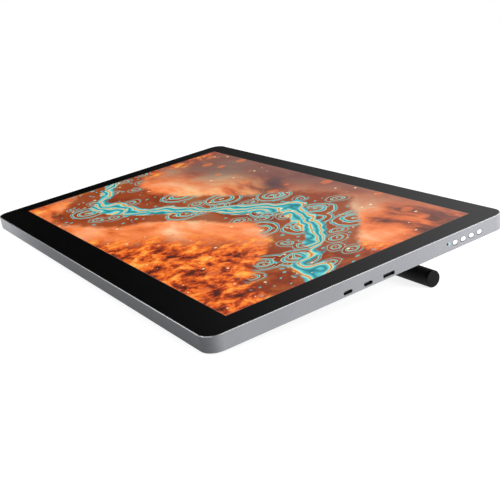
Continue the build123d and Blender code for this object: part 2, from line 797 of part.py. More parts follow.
with BuildPart() as vesa_inserts:
    with BuildSketch(deck.offset(-cover_inside)):
        with Locations(*vesa_places):
            Circle(insert_body_r)
            Circle(insert_r, mode=Mode.SUBTRACT)
    extrude(amount=insert_body_h)
    with BuildSketch(deck.offset(-cover_inside)):
        with Locations(*vesa_places):
            Circle(insert_collar_r - slip)
            Circle(insert_r, mode=Mode.SUBTRACT)
    extrude(amount=-cover_t - pad_h)
vesa_inserts.part.label = "vesa_inserts"
export_step(vesa_inserts.part, "parts/vesa_inserts.step")

# Rubber feet, stuck to the outside of the back along its two long edges
rear_foot_y = rear_y - 2 * foot_inset
for name, strip_y in (("front_feet", foot_y), ("rear_feet", rear_foot_y)):
    with BuildPart() as feet:
        for side in (-1, 1):
            with BuildSketch(section.offset(side * foot_x - foot_l / 2)):
                with BuildLine():
                    ThreePointArc(
                        (strip_y - foot_w / 2, -body_t),
                        (strip_y, -body_t - foot_drop),
                        (strip_y + foot_w / 2, -body_t),
                    )
                    Line((strip_y + foot_w / 2, -body_t), (strip_y - foot_w / 2, -body_t))
                make_face()
            extrude(amount=foot_l)
    feet.part.label = name
    export_step(feet.part, f"parts/{name}.step")

# Hinge line and the leg's plane: local X runs down the leg, local Z along the hinge
hinge = section.from_local_coords((hinge_y, -body_t - hinge_drop, 0))
leg_sink = asin((hinge.Z - sleeve_r) / leg_l)
leg = Plane(origin=hinge, x_dir=(0, cos(leg_sink), -sin(leg_sink)), z_dir=(1, 0, 0))
hinge_section = Plane(origin=hinge, x_dir=deck.y_dir, z_dir=(1, 0, 0))

pin_r = 3.0
running_gap = 0.05
side_gap = 0.1
arm_w = 20.0
arm_t = 3.0
knuckle_r = 5.0
washer_t = 0.8
washer_r = 5.4
ear_t = 3.0
ear_r = 6.2
base_t = 2.0
base_w = 44.0
base_d = 26.0
base_r = 3.0
pin_head_r = 4.4
pin_head_t = 2.2
nut_r = 4.6
nut_t = 2.6
ear_inside = arm_w / 2 + 2 * side_gap + washer_t
ear_outside = ear_inside + ear_t
for side, name in ((-1, "left"), (1, "right")):
    with BuildPart() as hinge_base:
        with BuildSketch(deck.offset(-body_t)):
            with Locations((side * hinge_x, hinge_y)):
                RectangleRounded(base_w, base_d, base_r)
        extrude(amount=-base_t)
        for edge in (-ear_outside, ear_inside):
            with BuildSketch(hinge_section.offset(side * hinge_x + edge)):
                Circle(ear_r)
                Rectangle(2 * ear_r, hinge_drop - base_t, align=(Align.CENTER, Align.MIN))
            extrude(amount=ear_t)
        with BuildSketch(hinge_section.offset(side * hinge_x - ear_outside)):
            Circle(pin_r + slip)
        extrude(amount=2 * ear_outside, mode=Mode.SUBTRACT)
        base_screws = [(x, y) for x, y in hinge_screw_places if x * side > 0]
        with Locations(*seats_below(body_t + base_t, base_screws)):
            CounterSinkHole(hinge_screw_r + slip, hinge_screw_head_r + slip, base_t, screw_angle)
    hinge_base.part.label = f"hinge_base_{name}"
    export_step(hinge_base.part, f"parts/hinge_base_{name}.step")

plate_t = 2.0
with BuildPart() as hinge_backing_plates:
    with BuildSketch(deck.offset(-cover_inside)):
        with Locations(*hinge_places):
            RectangleRounded(base_w, base_d, base_r)
        with Locations(*hinge_screw_places):
            Circle(hinge_screw_r + slip, mode=Mode.SUBTRACT)
    extrude(amount=plate_t)
hinge_backing_plates.part.label = "hinge_backing_plates"
export_step(hinge_backing_plates.part, "parts/hinge_backing_plates.step")

with BuildPart() as hinge_screws:
    hinge_seats = seats_below(body_t + base_t, hinge_screw_places)
    flat_screws(hinge_seats, hinge_screw_r, hinge_screw_head_r, base_t + cover_t + plate_t)
hinge_screws.part.label = "hinge_screws"
export_step(hinge_screws.part, "parts/hinge_screws.step")

pin_tail = nut_t + 2 * side_gap
with BuildPart() as hinge_pins:
    for side in (-1, 1):
        with BuildSketch(hinge_section.offset(side * (hinge_x + ear_outside))):
            Circle(pin_head_r)
        extrude(amount=side * pin_head_t)
        with BuildSketch(hinge_section.offset(side * (hinge_x + ear_outside))):
            Circle(pin_r)
        extrude(amount=-side * (2 * ear_outside + pin_tail))
        with BuildSketch(hinge_section.offset(side * (hinge_x + ear_outside + pin_head_t))):
            RegularPolygon(pin_r, 6)
        extrude(amount=-side * pin_head_t / 2, mode=Mode.SUBTRACT)
hinge_pins.part.label = "hinge_pins"
export_step(hinge_pins.part, "parts/hinge_pins.step")

with BuildPart() as friction_washers:
    for side in (-1, 1):
        for edge in (-ear_inside + side_gap, ear_inside - side_gap - washer_t):
            with BuildSketch(hinge_section.offset(side * hinge_x + edge)):
                Circle(washer_r)
                Circle(pin_r + running_gap, mode=Mode.SUBTRACT)
            extrude(amount=washer_t)
friction_washers.part.label = "friction_washers"
export_step(friction_washers.part, "parts/friction_washers.step")

with BuildPart() as hinge_nuts:
    for side in (-1, 1):
        with BuildSketch(hinge_section.offset(side * (hinge_x - ear_outside))):
            RegularPolygon(nut_r, 6)
            Circle(pin_r + slip, mode=Mode.SUBTRACT)
        extrude(amount=-side * nut_t)
hinge_nuts.part.label = "hinge_nuts"
export_step(hinge_nuts.part, "parts/hinge_nuts.step")

# Stand arms: flat bars with a knuckle at the hinge and an eye round the foot tube
tube_r = 6.0
tube_wall = 1.5
eye_r = 8.2
set_screw_r = 1.5
for side, name in ((-1, "left"), (1, "right")):
    with BuildPart() as stand_arm:
        with BuildSketch(leg.offset(side * hinge_x - arm_w / 2)):
            Circle(knuckle_r)
            Rectangle(leg_l, arm_t, align=(Align.MIN, Align.CENTER))
            with Locations((leg_l, 0)):
                Circle(eye_r)
            Circle(pin_r + running_gap, mode=Mode.SUBTRACT)
            with Locations((leg_l, 0)):
                Circle(tube_r + slip, mode=Mode.SUBTRACT)
        extrude(amount=arm_w)
        eye_end = leg.from_local_coords((leg_l + eye_r, 0, side * hinge_x))
        with BuildSketch(Plane(origin=eye_end, x_dir=(1, 0, 0), z_dir=leg.x_dir)):
            Circle(set_screw_r + slip)
        extrude(amount=tube_r - tube_wall - eye_r, mode=Mode.SUBTRACT)
    stand_arm.part.label = f"stand_arm_{name}"
    export_step(stand_arm.part, f"parts/stand_arm_{name}.step")

# Foot bar: steel tube, rubber sleeves between the eyes, end caps with plugs
cap_t = 3.0
cap_round = 1.2
plug_l = 8.0
sleeve_gap = 0.2
tube_half_l = bar_half_l - cap_t
with BuildPart() as foot_tube:
    with BuildSketch(leg.offset(-tube_half_l)):
        with Locations((leg_l, 0)):
            Circle(tube_r)
            Circle(tube_r - tube_wall, mode=Mode.SUBTRACT)
    extrude(amount=2 * tube_half_l)
    for side in (-1, 1):
        tube_side = leg.from_local_coords((leg_l + tube_r, 0, side * hinge_x))
        with BuildSketch(Plane(origin=tube_side, x_dir=(1, 0, 0), z_dir=leg.x_dir)):
            Circle(set_screw_r + slip)
        extrude(amount=-tube_r, mode=Mode.SUBTRACT)
foot_tube.part.label = "foot_tube"
export_step(foot_tube.part, "parts/foot_tube.step")

eye_inner_x = hinge_x - arm_w / 2 - sleeve_gap
eye_outer_x = hinge_x + arm_w / 2 + sleeve_gap
sleeve_spans = ((-tube_half_l, -eye_outer_x), (-eye_inner_x, eye_inner_x), (eye_outer_x, tube_half_l))
with BuildPart() as rubber_sleeves:
    for start_x, end_x in sleeve_spans:
        with BuildSketch(leg.offset(start_x)):
            with Locations((leg_l, 0)):
                Circle(sleeve_r)
                Circle(tube_r + slip, mode=Mode.SUBTRACT)
        extrude(amount=end_x - start_x)
rubber_sleeves.part.label = "rubber_sleeves"
export_step(rubber_sleeves.part, "parts/rubber_sleeves.step")

with BuildPart() as end_caps:
    with BuildSketch(leg.offset(tube_half_l)):
        with Locations((leg_l, 0)):
            Circle(sleeve_r)
    extrude(amount=cap_t)
    fillet(end_caps.faces().sort_by(Axis.X)[-1].edges(), cap_round)
    with BuildSketch(leg.offset(tube_half_l)):
        with Locations((leg_l, 0)):
            Circle(tube_r - tube_wall - slip)
    extrude(amount=-plug_l)
    mirror(about=Plane.YZ)
end_caps.part.label = "end_caps"
export_step(end_caps.part, "parts/end_caps.step")

set_screw_l = eye_r - tube_r + tube_wall
with BuildPart() as bar_set_screws:
    for side in (-1, 1):
        screw_end = leg.from_local_coords((leg_l + eye_r, 0, side * hinge_x))
        screw_plane = Plane(origin=screw_end, x_dir=(1, 0, 0), z_dir=leg.x_dir)
        with BuildSketch(screw_plane):
            Circle(set_screw_r)
        extrude(amount=-set_screw_l)
        with BuildSketch(screw_plane):
            RegularPolygon(set_screw_r / 2, 6)
        extrude(amount=-set_screw_l / 2, mode=Mode.SUBTRACT)
bar_set_screws.part.label = "bar_set_screws"
export_step(bar_set_screws.part, "parts/bar_set_screws.step")

# Rest pads on the back, where the folded foot bar lies
rest_pad_w = 30.0
rest_pad_d = 12.0
rest_pad_x_share = 0.7
rest_pad_x = rest_pad_x_share * bar_half_l
with BuildPart() as bar_rest_pads:
    with BuildSketch(deck.offset(-body_t)):
        with Locations((-rest_pad_x, folded_y), (rest_pad_x, folded_y)):
            RectangleRounded(rest_pad_w, rest_pad_d, rest_pad_t)
    extrude(amount=-rest_pad_t)
bar_rest_pads.part.label = "bar_rest_pads"
export_step(bar_rest_pads.part, "parts/bar_rest_pads.step")
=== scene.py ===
import json
from math import asin, cos, radians, sin

import bmesh
import bpy
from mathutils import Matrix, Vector


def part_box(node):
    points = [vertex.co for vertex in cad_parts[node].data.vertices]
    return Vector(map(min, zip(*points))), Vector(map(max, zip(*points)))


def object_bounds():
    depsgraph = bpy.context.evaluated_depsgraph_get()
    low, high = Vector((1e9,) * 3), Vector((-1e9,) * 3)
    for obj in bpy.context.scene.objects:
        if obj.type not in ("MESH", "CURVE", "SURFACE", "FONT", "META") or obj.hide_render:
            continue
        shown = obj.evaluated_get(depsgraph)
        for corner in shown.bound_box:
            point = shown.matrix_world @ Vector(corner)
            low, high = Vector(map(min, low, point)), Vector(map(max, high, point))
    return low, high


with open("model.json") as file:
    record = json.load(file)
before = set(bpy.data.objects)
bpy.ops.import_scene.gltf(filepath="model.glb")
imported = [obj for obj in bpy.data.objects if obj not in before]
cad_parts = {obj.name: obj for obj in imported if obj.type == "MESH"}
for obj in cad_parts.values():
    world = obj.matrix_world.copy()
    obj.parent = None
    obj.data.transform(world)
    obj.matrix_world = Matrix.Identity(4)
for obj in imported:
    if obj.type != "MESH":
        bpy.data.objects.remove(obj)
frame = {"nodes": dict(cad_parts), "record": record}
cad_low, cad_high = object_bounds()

# Side frame: one milled aluminium ring that carries the glass on a ledge and has the port and
# button mouths in its right wall. It is bead-blasted, anodised silver grey, and then its top edge
# is cut bright. On its right wall, shade is painted round the button caps and at the status
# light's hole, and a cyan glow is painted beside that hole, emitted by the frame itself.
MM = 0.001
nodes = frame["nodes"]
# The deck is the plane of the glass. Its lean is read from the mount of the bracket's pad.
mounts = {mount["name"]: mount for mount in frame["record"]["mounts"]}
pad_way = Vector(mounts["bracket_pad"]["axis"])
tilt = asin(pad_way.y)
deck_up = -pad_way
deck_rear = Vector((0, cos(tilt), sin(tilt)))


def reach(name, way):
    """The lowest and highest place of a CAD node along a direction."""
    shape = nodes[name]
    places = [way.dot(shape.matrix_world @ corner.co) for corner in shape.data.vertices]
    return min(places), max(places)


bond_front, bond_rear = reach("optical_bond", deck_rear)
bond_half_w = reach("optical_bond", Vector((1, 0, 0)))[1]
glass_top = reach("cover_glass", deck_up)[1]
deck_origin = deck_up * glass_top + deck_rear * (bond_front + bond_rear) / 2


def add(tree, kind, inputs=None, **settings):
    """Adds one shader node, with its settings, and fills or links its inputs by name or number."""
    made = tree.nodes.new("ShaderNode" + kind)
    for name, value in settings.items():
        setattr(made, name, value)
    for key, value in (inputs or {}).items():
        if isinstance(value, bpy.types.NodeSocket):
            tree.links.new(value, made.inputs[key])
        else:
            made.inputs[key].default_value = value
    return made


def calc(tree, operation, *values):
    """One Math node's result."""
    return add(tree, "Math", dict(enumerate(values)), operation=operation).outputs[0]


def times(tree, first, *others):
    """Numbers multiplied together."""
    for other in others:
        first = calc(tree, "MULTIPLY", first, other)
    return first


def vec(tree, operation, *values, out=0):
    """One Vector Math node's result."""
    return add(tree, "VectorMath", dict(enumerate(values)), operation=operation).outputs[out]


def fit(tree, value, low, high, to_low=0.0, to_high=1.0):
    """A value taken smoothly from one range to another, and held at its ends."""
    ends = {"Value": value, "From Min": low, "From Max": high, "To Min": to_low, "To Max": to_high}
    return add(tree, "MapRange", ends, interpolation_type="SMOOTHSTEP").outputs["Result"]


def mix(tree, share, first, second, blend="MIX"):
    """Two colours mixed."""
    sockets = {0: share}
    for key, side in ((6, first), (7, second)):
        sockets[key] = side if isinstance(side, bpy.types.NodeSocket) else (*side, 1)
    return add(tree, "Mix", sockets, data_type="RGBA", blend_type=blend).outputs[2]


def ease(tree, share, first, second):
    """Two numbers mixed."""
    return add(tree, "Mix", {0: share, 2: first, 3: second}, data_type="FLOAT").outputs[0]


def noise(tree, place, scale, detail=2.0, out="Fac", **more):
    """A noise value or colour at a place."""
    sockets = {"Vector": place, "Scale": scale, "Detail": detail}
    sockets.update({key.title(): value for key, value in more.items()})
    return add(tree, "TexNoise", sockets).outputs[out]


def parts_of(tree, value):
    """The X, Y and Z of a vector."""
    return add(tree, "SeparateXYZ", {0: value}).outputs


def scaled(tree, colour, share):
    """A colour or vector times a number."""
    return add(tree, "VectorMath", {0: colour, "Scale": share}, operation="SCALE").outputs[0]


def here(tree):
    """Place on the piece in metres; it goes along when the piece moves."""
    return add(tree, "TexCoord").outputs["Object"]


def deck_place(tree):
    """Metres from the picture's middle: X to the right, Y to the rear, Z out of the glass."""
    sockets = {"Vector": here(tree), "Location": deck_origin, "Rotation": (tilt, 0, 0)}
    return add(tree, "Mapping", sockets, vector_type="TEXTURE").outputs["Vector"]


def new_group(name, inputs, outputs):
    """A node group with float inputs that have defaults, and float outputs."""
    tree = bpy.data.node_groups.new(name, "ShaderNodeTree")
    for label, value in inputs.items():
        socket = tree.interface.new_socket(label, in_out="INPUT", socket_type="NodeSocketFloat")
        socket.default_value = value
    for label in outputs:
        tree.interface.new_socket(label, in_out="OUTPUT", socket_type="NodeSocketFloat")
    return tree, tree.nodes.new("NodeGroupInput").outputs, tree.nodes.new("NodeGroupOutput").inputs


def use_group(tree, group, **inputs):
    """A node group placed in a material with its own values, as its outputs."""
    made = tree.nodes.new("ShaderNodeGroup")
    made.node_tree = group
    for key, value in inputs.items():
        made.inputs[key.replace("_", " ").title()].default_value = value
    return made.outputs


def grain_group():
    """Fine texture of a blasted, moulded or coated surface, with slow drifts over the piece."""
    drift_share = 0.012
    tree, given, result = new_group(
        "surface_grain",
        {"Scale": 3000.0, "Shade Spread": 0.05, "Roughness": 0.4, "Roughness Spread": 0.05},
        ["Shade", "Roughness", "Height"],
    )
    place = here(tree)
    fine = noise(tree, place, given["Scale"], detail=3.0)
    drift = noise(tree, place, times(tree, given["Scale"], drift_share), detail=3.0)
    swing = calc(tree, "SUBTRACT", calc(tree, "ADD", fine, drift), 1.0)
    shade = calc(tree, "MULTIPLY_ADD", swing, given["Shade Spread"], 1.0)
    rough = calc(tree, "MULTIPLY_ADD", swing, given["Roughness Spread"], given["Roughness"])
    for label, value in (("Shade", shade), ("Roughness", rough), ("Height", fine)):
        tree.links.new(value, result[label])
    return tree


def rub_group():
    """Edges rubbed by handling: where the surface bends sharply, broken up by noise."""
    inputs = {"Radius": 0.0004, "Amount": 1.0, "Scale": 400.0}
    tree, given, result = new_group("edge_rub", inputs, ["Mask"])
    rounded = add(tree, "Bevel", {"Radius": given["Radius"]}, samples=4).outputs["Normal"]
    facing = add(tree, "NewGeometry").outputs["Normal"]
    bend = calc(tree, "SUBTRACT", 1.0, vec(tree, "DOT_PRODUCT", rounded, facing, out="Value"))
    broken = fit(tree, noise(tree, here(tree), given["Scale"], detail=4.0), 0.42, 0.66)
    edge = fit(tree, bend, 0.02, 0.2)
    tree.links.new(times(tree, edge, given["Amount"], broken), result["Mask"])
    return tree


surface_grain = grain_group()
edge_rub = rub_group()


def grained(tree, scale, shade, rough, swing):
    """Surface grain with its own values: how far the shade swings, the roughness, and its swing."""
    values = {"scale": scale, "shade_spread": shade, "roughness": rough, "roughness_spread": swing}
    return use_group(tree, surface_grain, **values)


def new_material(name, **sockets):
    """A material with one principled shader; sockets that stay the same all over are set here."""
    made = bpy.data.materials.new(name)
    made.use_nodes = True
    tree = made.node_tree
    tree.nodes.clear()
    shader = tree.nodes.new("ShaderNodeBsdfPrincipled")
    output = tree.nodes.new("ShaderNodeOutputMaterial")
    tree.links.new(shader.outputs["BSDF"], output.inputs["Surface"])
    for key, value in sockets.items():
        label = key.replace("_", " ").title().replace("Ior", "IOR")
        shader.inputs[label].default_value = value
    return made, tree, shader.inputs


def feed(tree, sockets, **links):
    """Links results to the shader's sockets."""
    for key, value in links.items():
        tree.links.new(value, sockets[key.replace("_", " ").title()])


def relief(tree, sockets, height, depth):
    """Bumps of a real depth in metres on the surface."""
    bump = add(tree, "Bump", {"Height": height, "Distance": depth, "Strength": 1.0})
    tree.links.new(bump.outputs["Normal"], sockets["Normal"])


def dress(material, *names):
    """Gives CAD nodes their finish."""
    for name in names:
        for slot in nodes[name].material_slots:
            slot.material = material


def middle_of(name):
    """The middle of a CAD node's box."""
    low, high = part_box(name)
    return (Vector(low) + Vector(high)) / 2


def on_deck(place):
    """A place in the frame as a place on the deck."""
    away = place - deck_origin
    return Vector((away.x, away.dot(deck_rear), away.dot(deck_up)))


def wall_distance(tree, place, point):
    """Distance over the right wall from a point on it."""
    away = vec(tree, "MULTIPLY", vec(tree, "SUBTRACT", place, point), (0, 1, 1))
    return vec(tree, "LENGTH", away, out="Value")


def cap_gap_shade(tree, place):
    """Where shade is painted on the wall in the gap round each of the four button caps, a little
    more on their front side.
    """
    cap_w, cap_h = 6.2 * MM, 4.1 * MM
    cap_count = 4
    gap_shade_offset = 0.25 * MM
    gap_shade_near, gap_shade_far = 0.3 * MM, 0.6 * MM
    first, last = on_deck(middle_of("power_button")), on_deck(middle_of("plus_button"))
    row = last.y - first.y
    pitch = row / (cap_count - 1)
    row_half = cap_count / 2 * pitch
    spot = parts_of(tree, place)
    along = calc(tree, "SUBTRACT", spot["Y"], first.y - gap_shade_offset)
    off_middle = calc(tree, "ABSOLUTE", calc(tree, "SUBTRACT", along, row / 2))
    in_row = fit(tree, off_middle, row_half, row_half + 0.1 * MM, 1.0, 0.0)
    aside = calc(tree, "PINGPONG", along, pitch / 2)
    past_flat = calc(tree, "MAXIMUM", calc(tree, "SUBTRACT", aside, (cap_w - cap_h) / 2), 0.0)
    corner = {"X": past_flat, "Y": calc(tree, "SUBTRACT", spot["Z"], first.z)}
    from_end = vec(tree, "LENGTH", add(tree, "CombineXYZ", corner).outputs[0], out="Value")
    from_cap = calc(tree, "SUBTRACT", from_end, cap_h / 2)
    return times(tree, in_row, fit(tree, from_cap, gap_shade_near, gap_shade_far, 1.0, 0.0))


def blasted_aluminium():
    silver, blast_metallic, blast_depth = (0.343, 0.348, 0.370), 0.04, 0.012 * MM
    cut_silver, cut_metallic, cut_roughness = (0.58, 0.58, 0.60), 0.85, 0.22
    cut_depth, cut_blend = 0.47 * MM, 0.04 * MM
    glow_colour, glow_level = (0.30, 0.78, 0.80), 0.42
    glow_offset, glow_r = 1.5 * MM, 2.1 * MM
    hole_r, hole_blend = 1.2 * MM, 0.2 * MM
    painted_shade_colour = (0.05, 0.05, 0.055)
    material, tree, sockets = new_material("bead_blasted_aluminium", emission_strength=1.0,
                                           specular_ior_level=0.02)
    grain = grained(tree, scale=2600, shade=0.16, rough=0.44, swing=0.10)
    rubbed = use_group(tree, edge_rub, radius=0.4 * MM, amount=0.35, scale=300)["Mask"]
    place = deck_place(tree)
    spot = parts_of(tree, place)
    cut = fit(tree, spot["Z"], -cut_depth, cut_blend - cut_depth)
    base = mix(tree, rubbed, scaled(tree, silver, grain["Shade"]), cut_silver)
    base = mix(tree, cut, base, cut_silver)
    # A cyan glow is painted here as light that the frame emits beside the status light, and kept
    # off the painted shade.
    lamp = on_deck(middle_of("status_led"))
    spill = (bond_half_w, lamp.y + glow_offset, lamp.z)
    glow = fit(tree, wall_distance(tree, place, spill), glow_r / 2, glow_r, glow_level, 0.0)
    hole = fit(tree, wall_distance(tree, place, lamp), hole_r - hole_blend, hole_r, 1.0, 0.0)
    outer = fit(tree, spot["X"], bond_half_w, bond_half_w + 10 * MM)
    # Painted shade, on the right wall only: a dark disc at the status light's hole and rings in the
    # gaps round the button caps.
    painted_shade = times(tree, calc(tree, "MAXIMUM", cap_gap_shade(tree, place), hole), outer)
    feed(tree, sockets, base_color=mix(tree, painted_shade, base, painted_shade_colour))
    feed(tree, sockets, metallic=ease(tree, cut, blast_metallic, cut_metallic))
    feed(tree, sockets, roughness=ease(tree, cut, grain["Roughness"], cut_roughness))
    glow = times(tree, glow, calc(tree, "SUBTRACT", outer, painted_shade))
    feed(tree, sockets, emission_color=scaled(tree, glow_colour, glow))
    relief(tree, sockets, grain["Height"], blast_depth)
    return material


dress(blasted_aluminium(), "side_frame")

# Cover glass: flat pane with a lightly etched face, bonded to the panel, flush with the rim.
# A black border is printed on its back; the lit panel shows through the window in the middle.
# The picture on it is drawn in units of half its depth.
bond_margin = 2.5 * MM
picture_half_w = bond_half_w - bond_margin
picture_half_d = (bond_rear - bond_front) / 2 - bond_margin


def ramp(tree, value, stops):
    """Colours along a value, given as (place, colour) stops."""
    made = add(tree, "ValToRGB", {"Fac": value})
    elements = made.color_ramp.elements
    for place, colour in stops[2:]:
        elements.new(place)
    for element, (place, colour) in zip(elements, stops):
        element.position = place
        element.color = (*colour, 1)
    return made.outputs["Color"]


def stirred(tree, place, scale, push, detail=2.0):
    """A place pushed about by noise, as smoke and water push a pattern."""
    way = vec(tree, "SUBTRACT", noise(tree, place, scale, detail, out="Color"), (0.5, 0.5, 0.5))
    return vec(tree, "ADD", place, scaled(tree, way, push))


def scattered(tree, place, scale):
    """Points strewn over the picture: distance to the nearest one, and its own random numbers."""
    settings = {"Vector": place, "Scale": scale, "Randomness": 0.95}
    found = add(tree, "TexVoronoi", settings, voronoi_dimensions="2D").outputs
    chance = add(tree, "SeparateColor", {0: found["Color"]}).outputs
    return found["Distance"], chance


def discs(tree, place, scale, rare, size, soft):
    """Round spots of mixed sizes, some of them left out."""
    away, chance = scattered(tree, place, scale)
    radius = fit(tree, chance[0], rare, 1.0, 0.0, size)
    return fit(tree, calc(tree, "SUBTRACT", radius, away), 0.0, soft)


def to_and_fro(tree, value, pitch):
    """A value that runs from 0 to 1 and back over each pitch."""
    return calc(tree, "DIVIDE", calc(tree, "PINGPONG", value, pitch / 2), pitch / 2)


def ripples(tree, place, scale, rings):
    """Rings, as of rain, round strewn points: how far across a ring's line, and where it shows."""
    away, chance = scattered(tree, place, scale)
    across = to_and_fro(tree, times(tree, away, rings), 1.0)
    whole = fit(tree, chance[2], 0.36, 0.46)
    return across, times(tree, fit(tree, away, 0.30, 0.42, 1.0, 0.0), whole)


def foam(tree, across):
    """Colours across one line of foam: deep teal, pale teal, an orange rim and dark ground."""
    return ramp(tree, across, (
        (0.00, (0.012, 0.20, 0.24)),
        (0.18, (0.07, 0.50, 0.53)),
        (0.30, (0.26, 0.78, 0.77)),
        (0.38, (1.0, 0.52, 0.12)),
        (0.48, (0.30, 0.05, 0.012)),
    ))


def evening_clouds(tree, slow):
    """Clouds lit from below, drawn out sideways, dusky far off and with a bright break."""
    dusk, break_colour = (0.105, 0.066, 0.072), (1.0, 0.64, 0.26)
    break_place, break_r = (-0.35, 0.1, 0), 0.75
    drawn_share = 0.45
    lofty = noise(tree, slow, 1.1, 5.0, roughness=0.5)
    drawn = noise(tree, vec(tree, "MULTIPLY", slow, (0.9, 2.6, 1)), 1.6, 8.0, roughness=0.62)
    tone = ease(tree, drawn_share, lofty, drawn)
    sky = ramp(tree, tone, (
        (0.37, (0.055, 0.018, 0.014)),
        (0.42, (0.25, 0.055, 0.024)),
        (0.46, (0.75, 0.16, 0.040)),
        (0.51, (0.98, 0.27, 0.085)),
        (0.57, (1.0, 0.42, 0.20)),
        (0.67, (1.0, 0.74, 0.44)),
    ))
    side = parts_of(tree, slow)
    far = calc(tree, "MULTIPLY_ADD", side["X"], -0.22, side["Y"])
    sky = mix(tree, fit(tree, far, 0.25, 0.95, 0.0, 0.85), sky, dusk)
    off_break = vec(tree, "DISTANCE", slow, break_place, out="Value")
    near_break = fit(tree, off_break, 0.0, break_r, 0.75, 0.0)
    bright = times(tree, near_break, fit(tree, drawn, 0.4, 0.6))
    return mix(tree, bright, sky, break_colour)


def glowing_ground(tree, slow, rough):
    """Cinders with fire between them: their colours, and how much of the picture they cover."""
    cinders = ramp(tree, rough, (
        (0.39, (0.075, 0.016, 0.009)),
        (0.46, (0.40, 0.048, 0.013)),
        (0.53, (0.95, 0.17, 0.020)),
        (0.64, (1.0, 0.50, 0.09)),
    ))
    side = parts_of(tree, slow)
    near = calc(tree, "MULTIPLY_ADD", side["X"], 0.45, times(tree, side["Y"], -0.8))
    left = calc(tree, "MULTIPLY_ADD", side["X"], -0.6, -0.42)
    shore = calc(tree, "ADD", calc(tree, "MAXIMUM", near, left), times(tree, rough, 0.7))
    return cinders, fit(tree, shore, 0.78, 1.08)


def rainy_stream(tree, slow, quick, rough, picture):
    """A teal stream that winds across the picture, with dark banks, rain rings and drops."""
    bank_colour, drop_colour = (0.24, 0.038, 0.010), (0.10, 0.55, 0.56)
    side = parts_of(tree, slow)
    wave = calc(tree, "SINE", calc(tree, "MULTIPLY_ADD", side["X"], 1.9, 0.5))
    off = calc(tree, "ADD", calc(tree, "MULTIPLY_ADD", wave, -0.42, side["Y"]), 0.05)
    bank = calc(tree, "ADD", calc(tree, "ABSOLUTE", off), times(tree, rough, 0.25))
    within = fit(tree, bank, 0.50, 0.60, 1.0, 0.0)
    picture = mix(tree, times(tree, within, 0.85), picture, bank_colour)
    for scale, rings in ((2.3, 6.0), (4.4, 5.5)):
        across, shown = ripples(tree, quick, scale, rings)
        ring = times(tree, shown, fit(tree, across, 0.44, 0.52, 1.0, 0.0), within)
        picture = mix(tree, ring, picture, foam(tree, across))
    eddy = noise(tree, slow, 2.6, 2.0)
    lanes = calc(tree, "MULTIPLY_ADD", eddy, 6.0, times(tree, off, 9.0))
    across = times(tree, to_and_fro(tree, lanes, 1.0), 0.46)
    narrow = calc(tree, "MULTIPLY_ADD", eddy, 0.55, bank)
    picture = mix(tree, fit(tree, narrow, 0.49, 0.52, 1.0, 0.0), picture, foam(tree, across))
    drops = discs(tree, quick, 15.0, rare=0.6, size=0.24, soft=0.04)
    drops = times(tree, drops, fit(tree, bank, 0.35, 0.75, 1.0, 0.0))
    return mix(tree, drops, picture, drop_colour)


def lit_picture(tree, place):
    """Evening clouds over glowing ground and a teal stream: the colour that the panel shows."""
    bokeh_colour, spark_colour = (0.90, 0.20, 0.05), (1.0, 0.84, 0.52)
    at = vec(tree, "MULTIPLY", place, (1 / picture_half_d, 1 / picture_half_d, 0))
    slow = stirred(tree, at, 0.9, 0.55)
    quick = stirred(tree, at, 3.2, 0.16, 3.0)
    rough = noise(tree, quick, 6.5, 9.0, roughness=0.74)
    cinders, ground = glowing_ground(tree, slow, rough)
    picture = mix(tree, ground, evening_clouds(tree, slow), cinders)
    bokeh = discs(tree, at, 4.4, rare=0.35, size=0.28, soft=0.09)
    picture = mix(tree, times(tree, bokeh, 0.5), picture, bokeh_colour)
    picture = rainy_stream(tree, slow, quick, rough, picture)
    sparks = discs(tree, at, 7.0, rare=0.62, size=0.11, soft=0.06)
    return mix(tree, sparks, picture, spark_colour)


def front_glass():
    print_black = (0.0007, 0.0007, 0.0008)
    window_blend = 0.03 * MM
    line_w, line_blend, line_share = 0.5 * MM, 0.2 * MM, 0.5
    line_colour = (0.34, 0.20, 0.16)
    material, tree, sockets = new_material("etched_front_glass", ior=1.5, emission_strength=1.0)
    place = deck_place(tree)
    sides = parts_of(tree, vec(tree, "ABSOLUTE", place))
    in_x = calc(tree, "SUBTRACT", picture_half_w, sides["X"])
    in_y = calc(tree, "SUBTRACT", picture_half_d, sides["Y"])
    inside = calc(tree, "MINIMUM", in_x, in_y)
    window = fit(tree, inside, -window_blend, window_blend)
    line = fit(tree, inside, line_w, line_w + line_blend, line_share, 0.0)
    picture = mix(tree, line, lit_picture(tree, place), line_colour)
    grain = grained(tree, scale=5200, shade=0.2, rough=0.3, swing=0.05)
    feed(tree, sockets, base_color=scaled(tree, print_black, grain["Shade"]))
    feed(tree, sockets, roughness=grain["Roughness"])
    feed(tree, sockets, emission_color=scaled(tree, picture, window))
    return material


dress(front_glass(), "cover_glass")

# Edge tape: closed ring of black foam tape, die cut, with acrylic adhesive on both sides.
# It holds the glass to the ledge of the side frame and keeps dust out.


def cover(tree, sockets, colour, grain, depth, height=None):
    """Colour, the grain's roughness, and bumps of a real depth: the grain's, or those given."""
    feed(tree, sockets, base_color=colour, roughness=grain["Roughness"])
    relief(tree, sockets, grain["Height"] if height is None else height, depth)


def foam_tape():
    black, cells_per_metre, pore_depth = (0.022, 0.022, 0.023), 4200.0, 0.04 * MM
    material, tree, sockets = new_material("black_foam_tape")
    grain = grained(tree, scale=1800, shade=0.4, rough=0.85, swing=0.1)
    cells = add(tree, "TexVoronoi", {"Vector": here(tree), "Scale": cells_per_metre})
    pores = fit(tree, cells.outputs["Distance"], 0.15, 0.45)
    # The pores are painted darker as shade, besides their bumps.
    cover(tree, sockets, scaled(tree, black, ease(tree, pores, 0.5, 1.1)), grain, pore_depth, pores)
    return material


dress(foam_tape(), "edge_tape")

# Optical bond: clear silicone gel, cast between the glass and the panel so that no air is left
# to mirror in between. A few tiny bubbles stay in it.


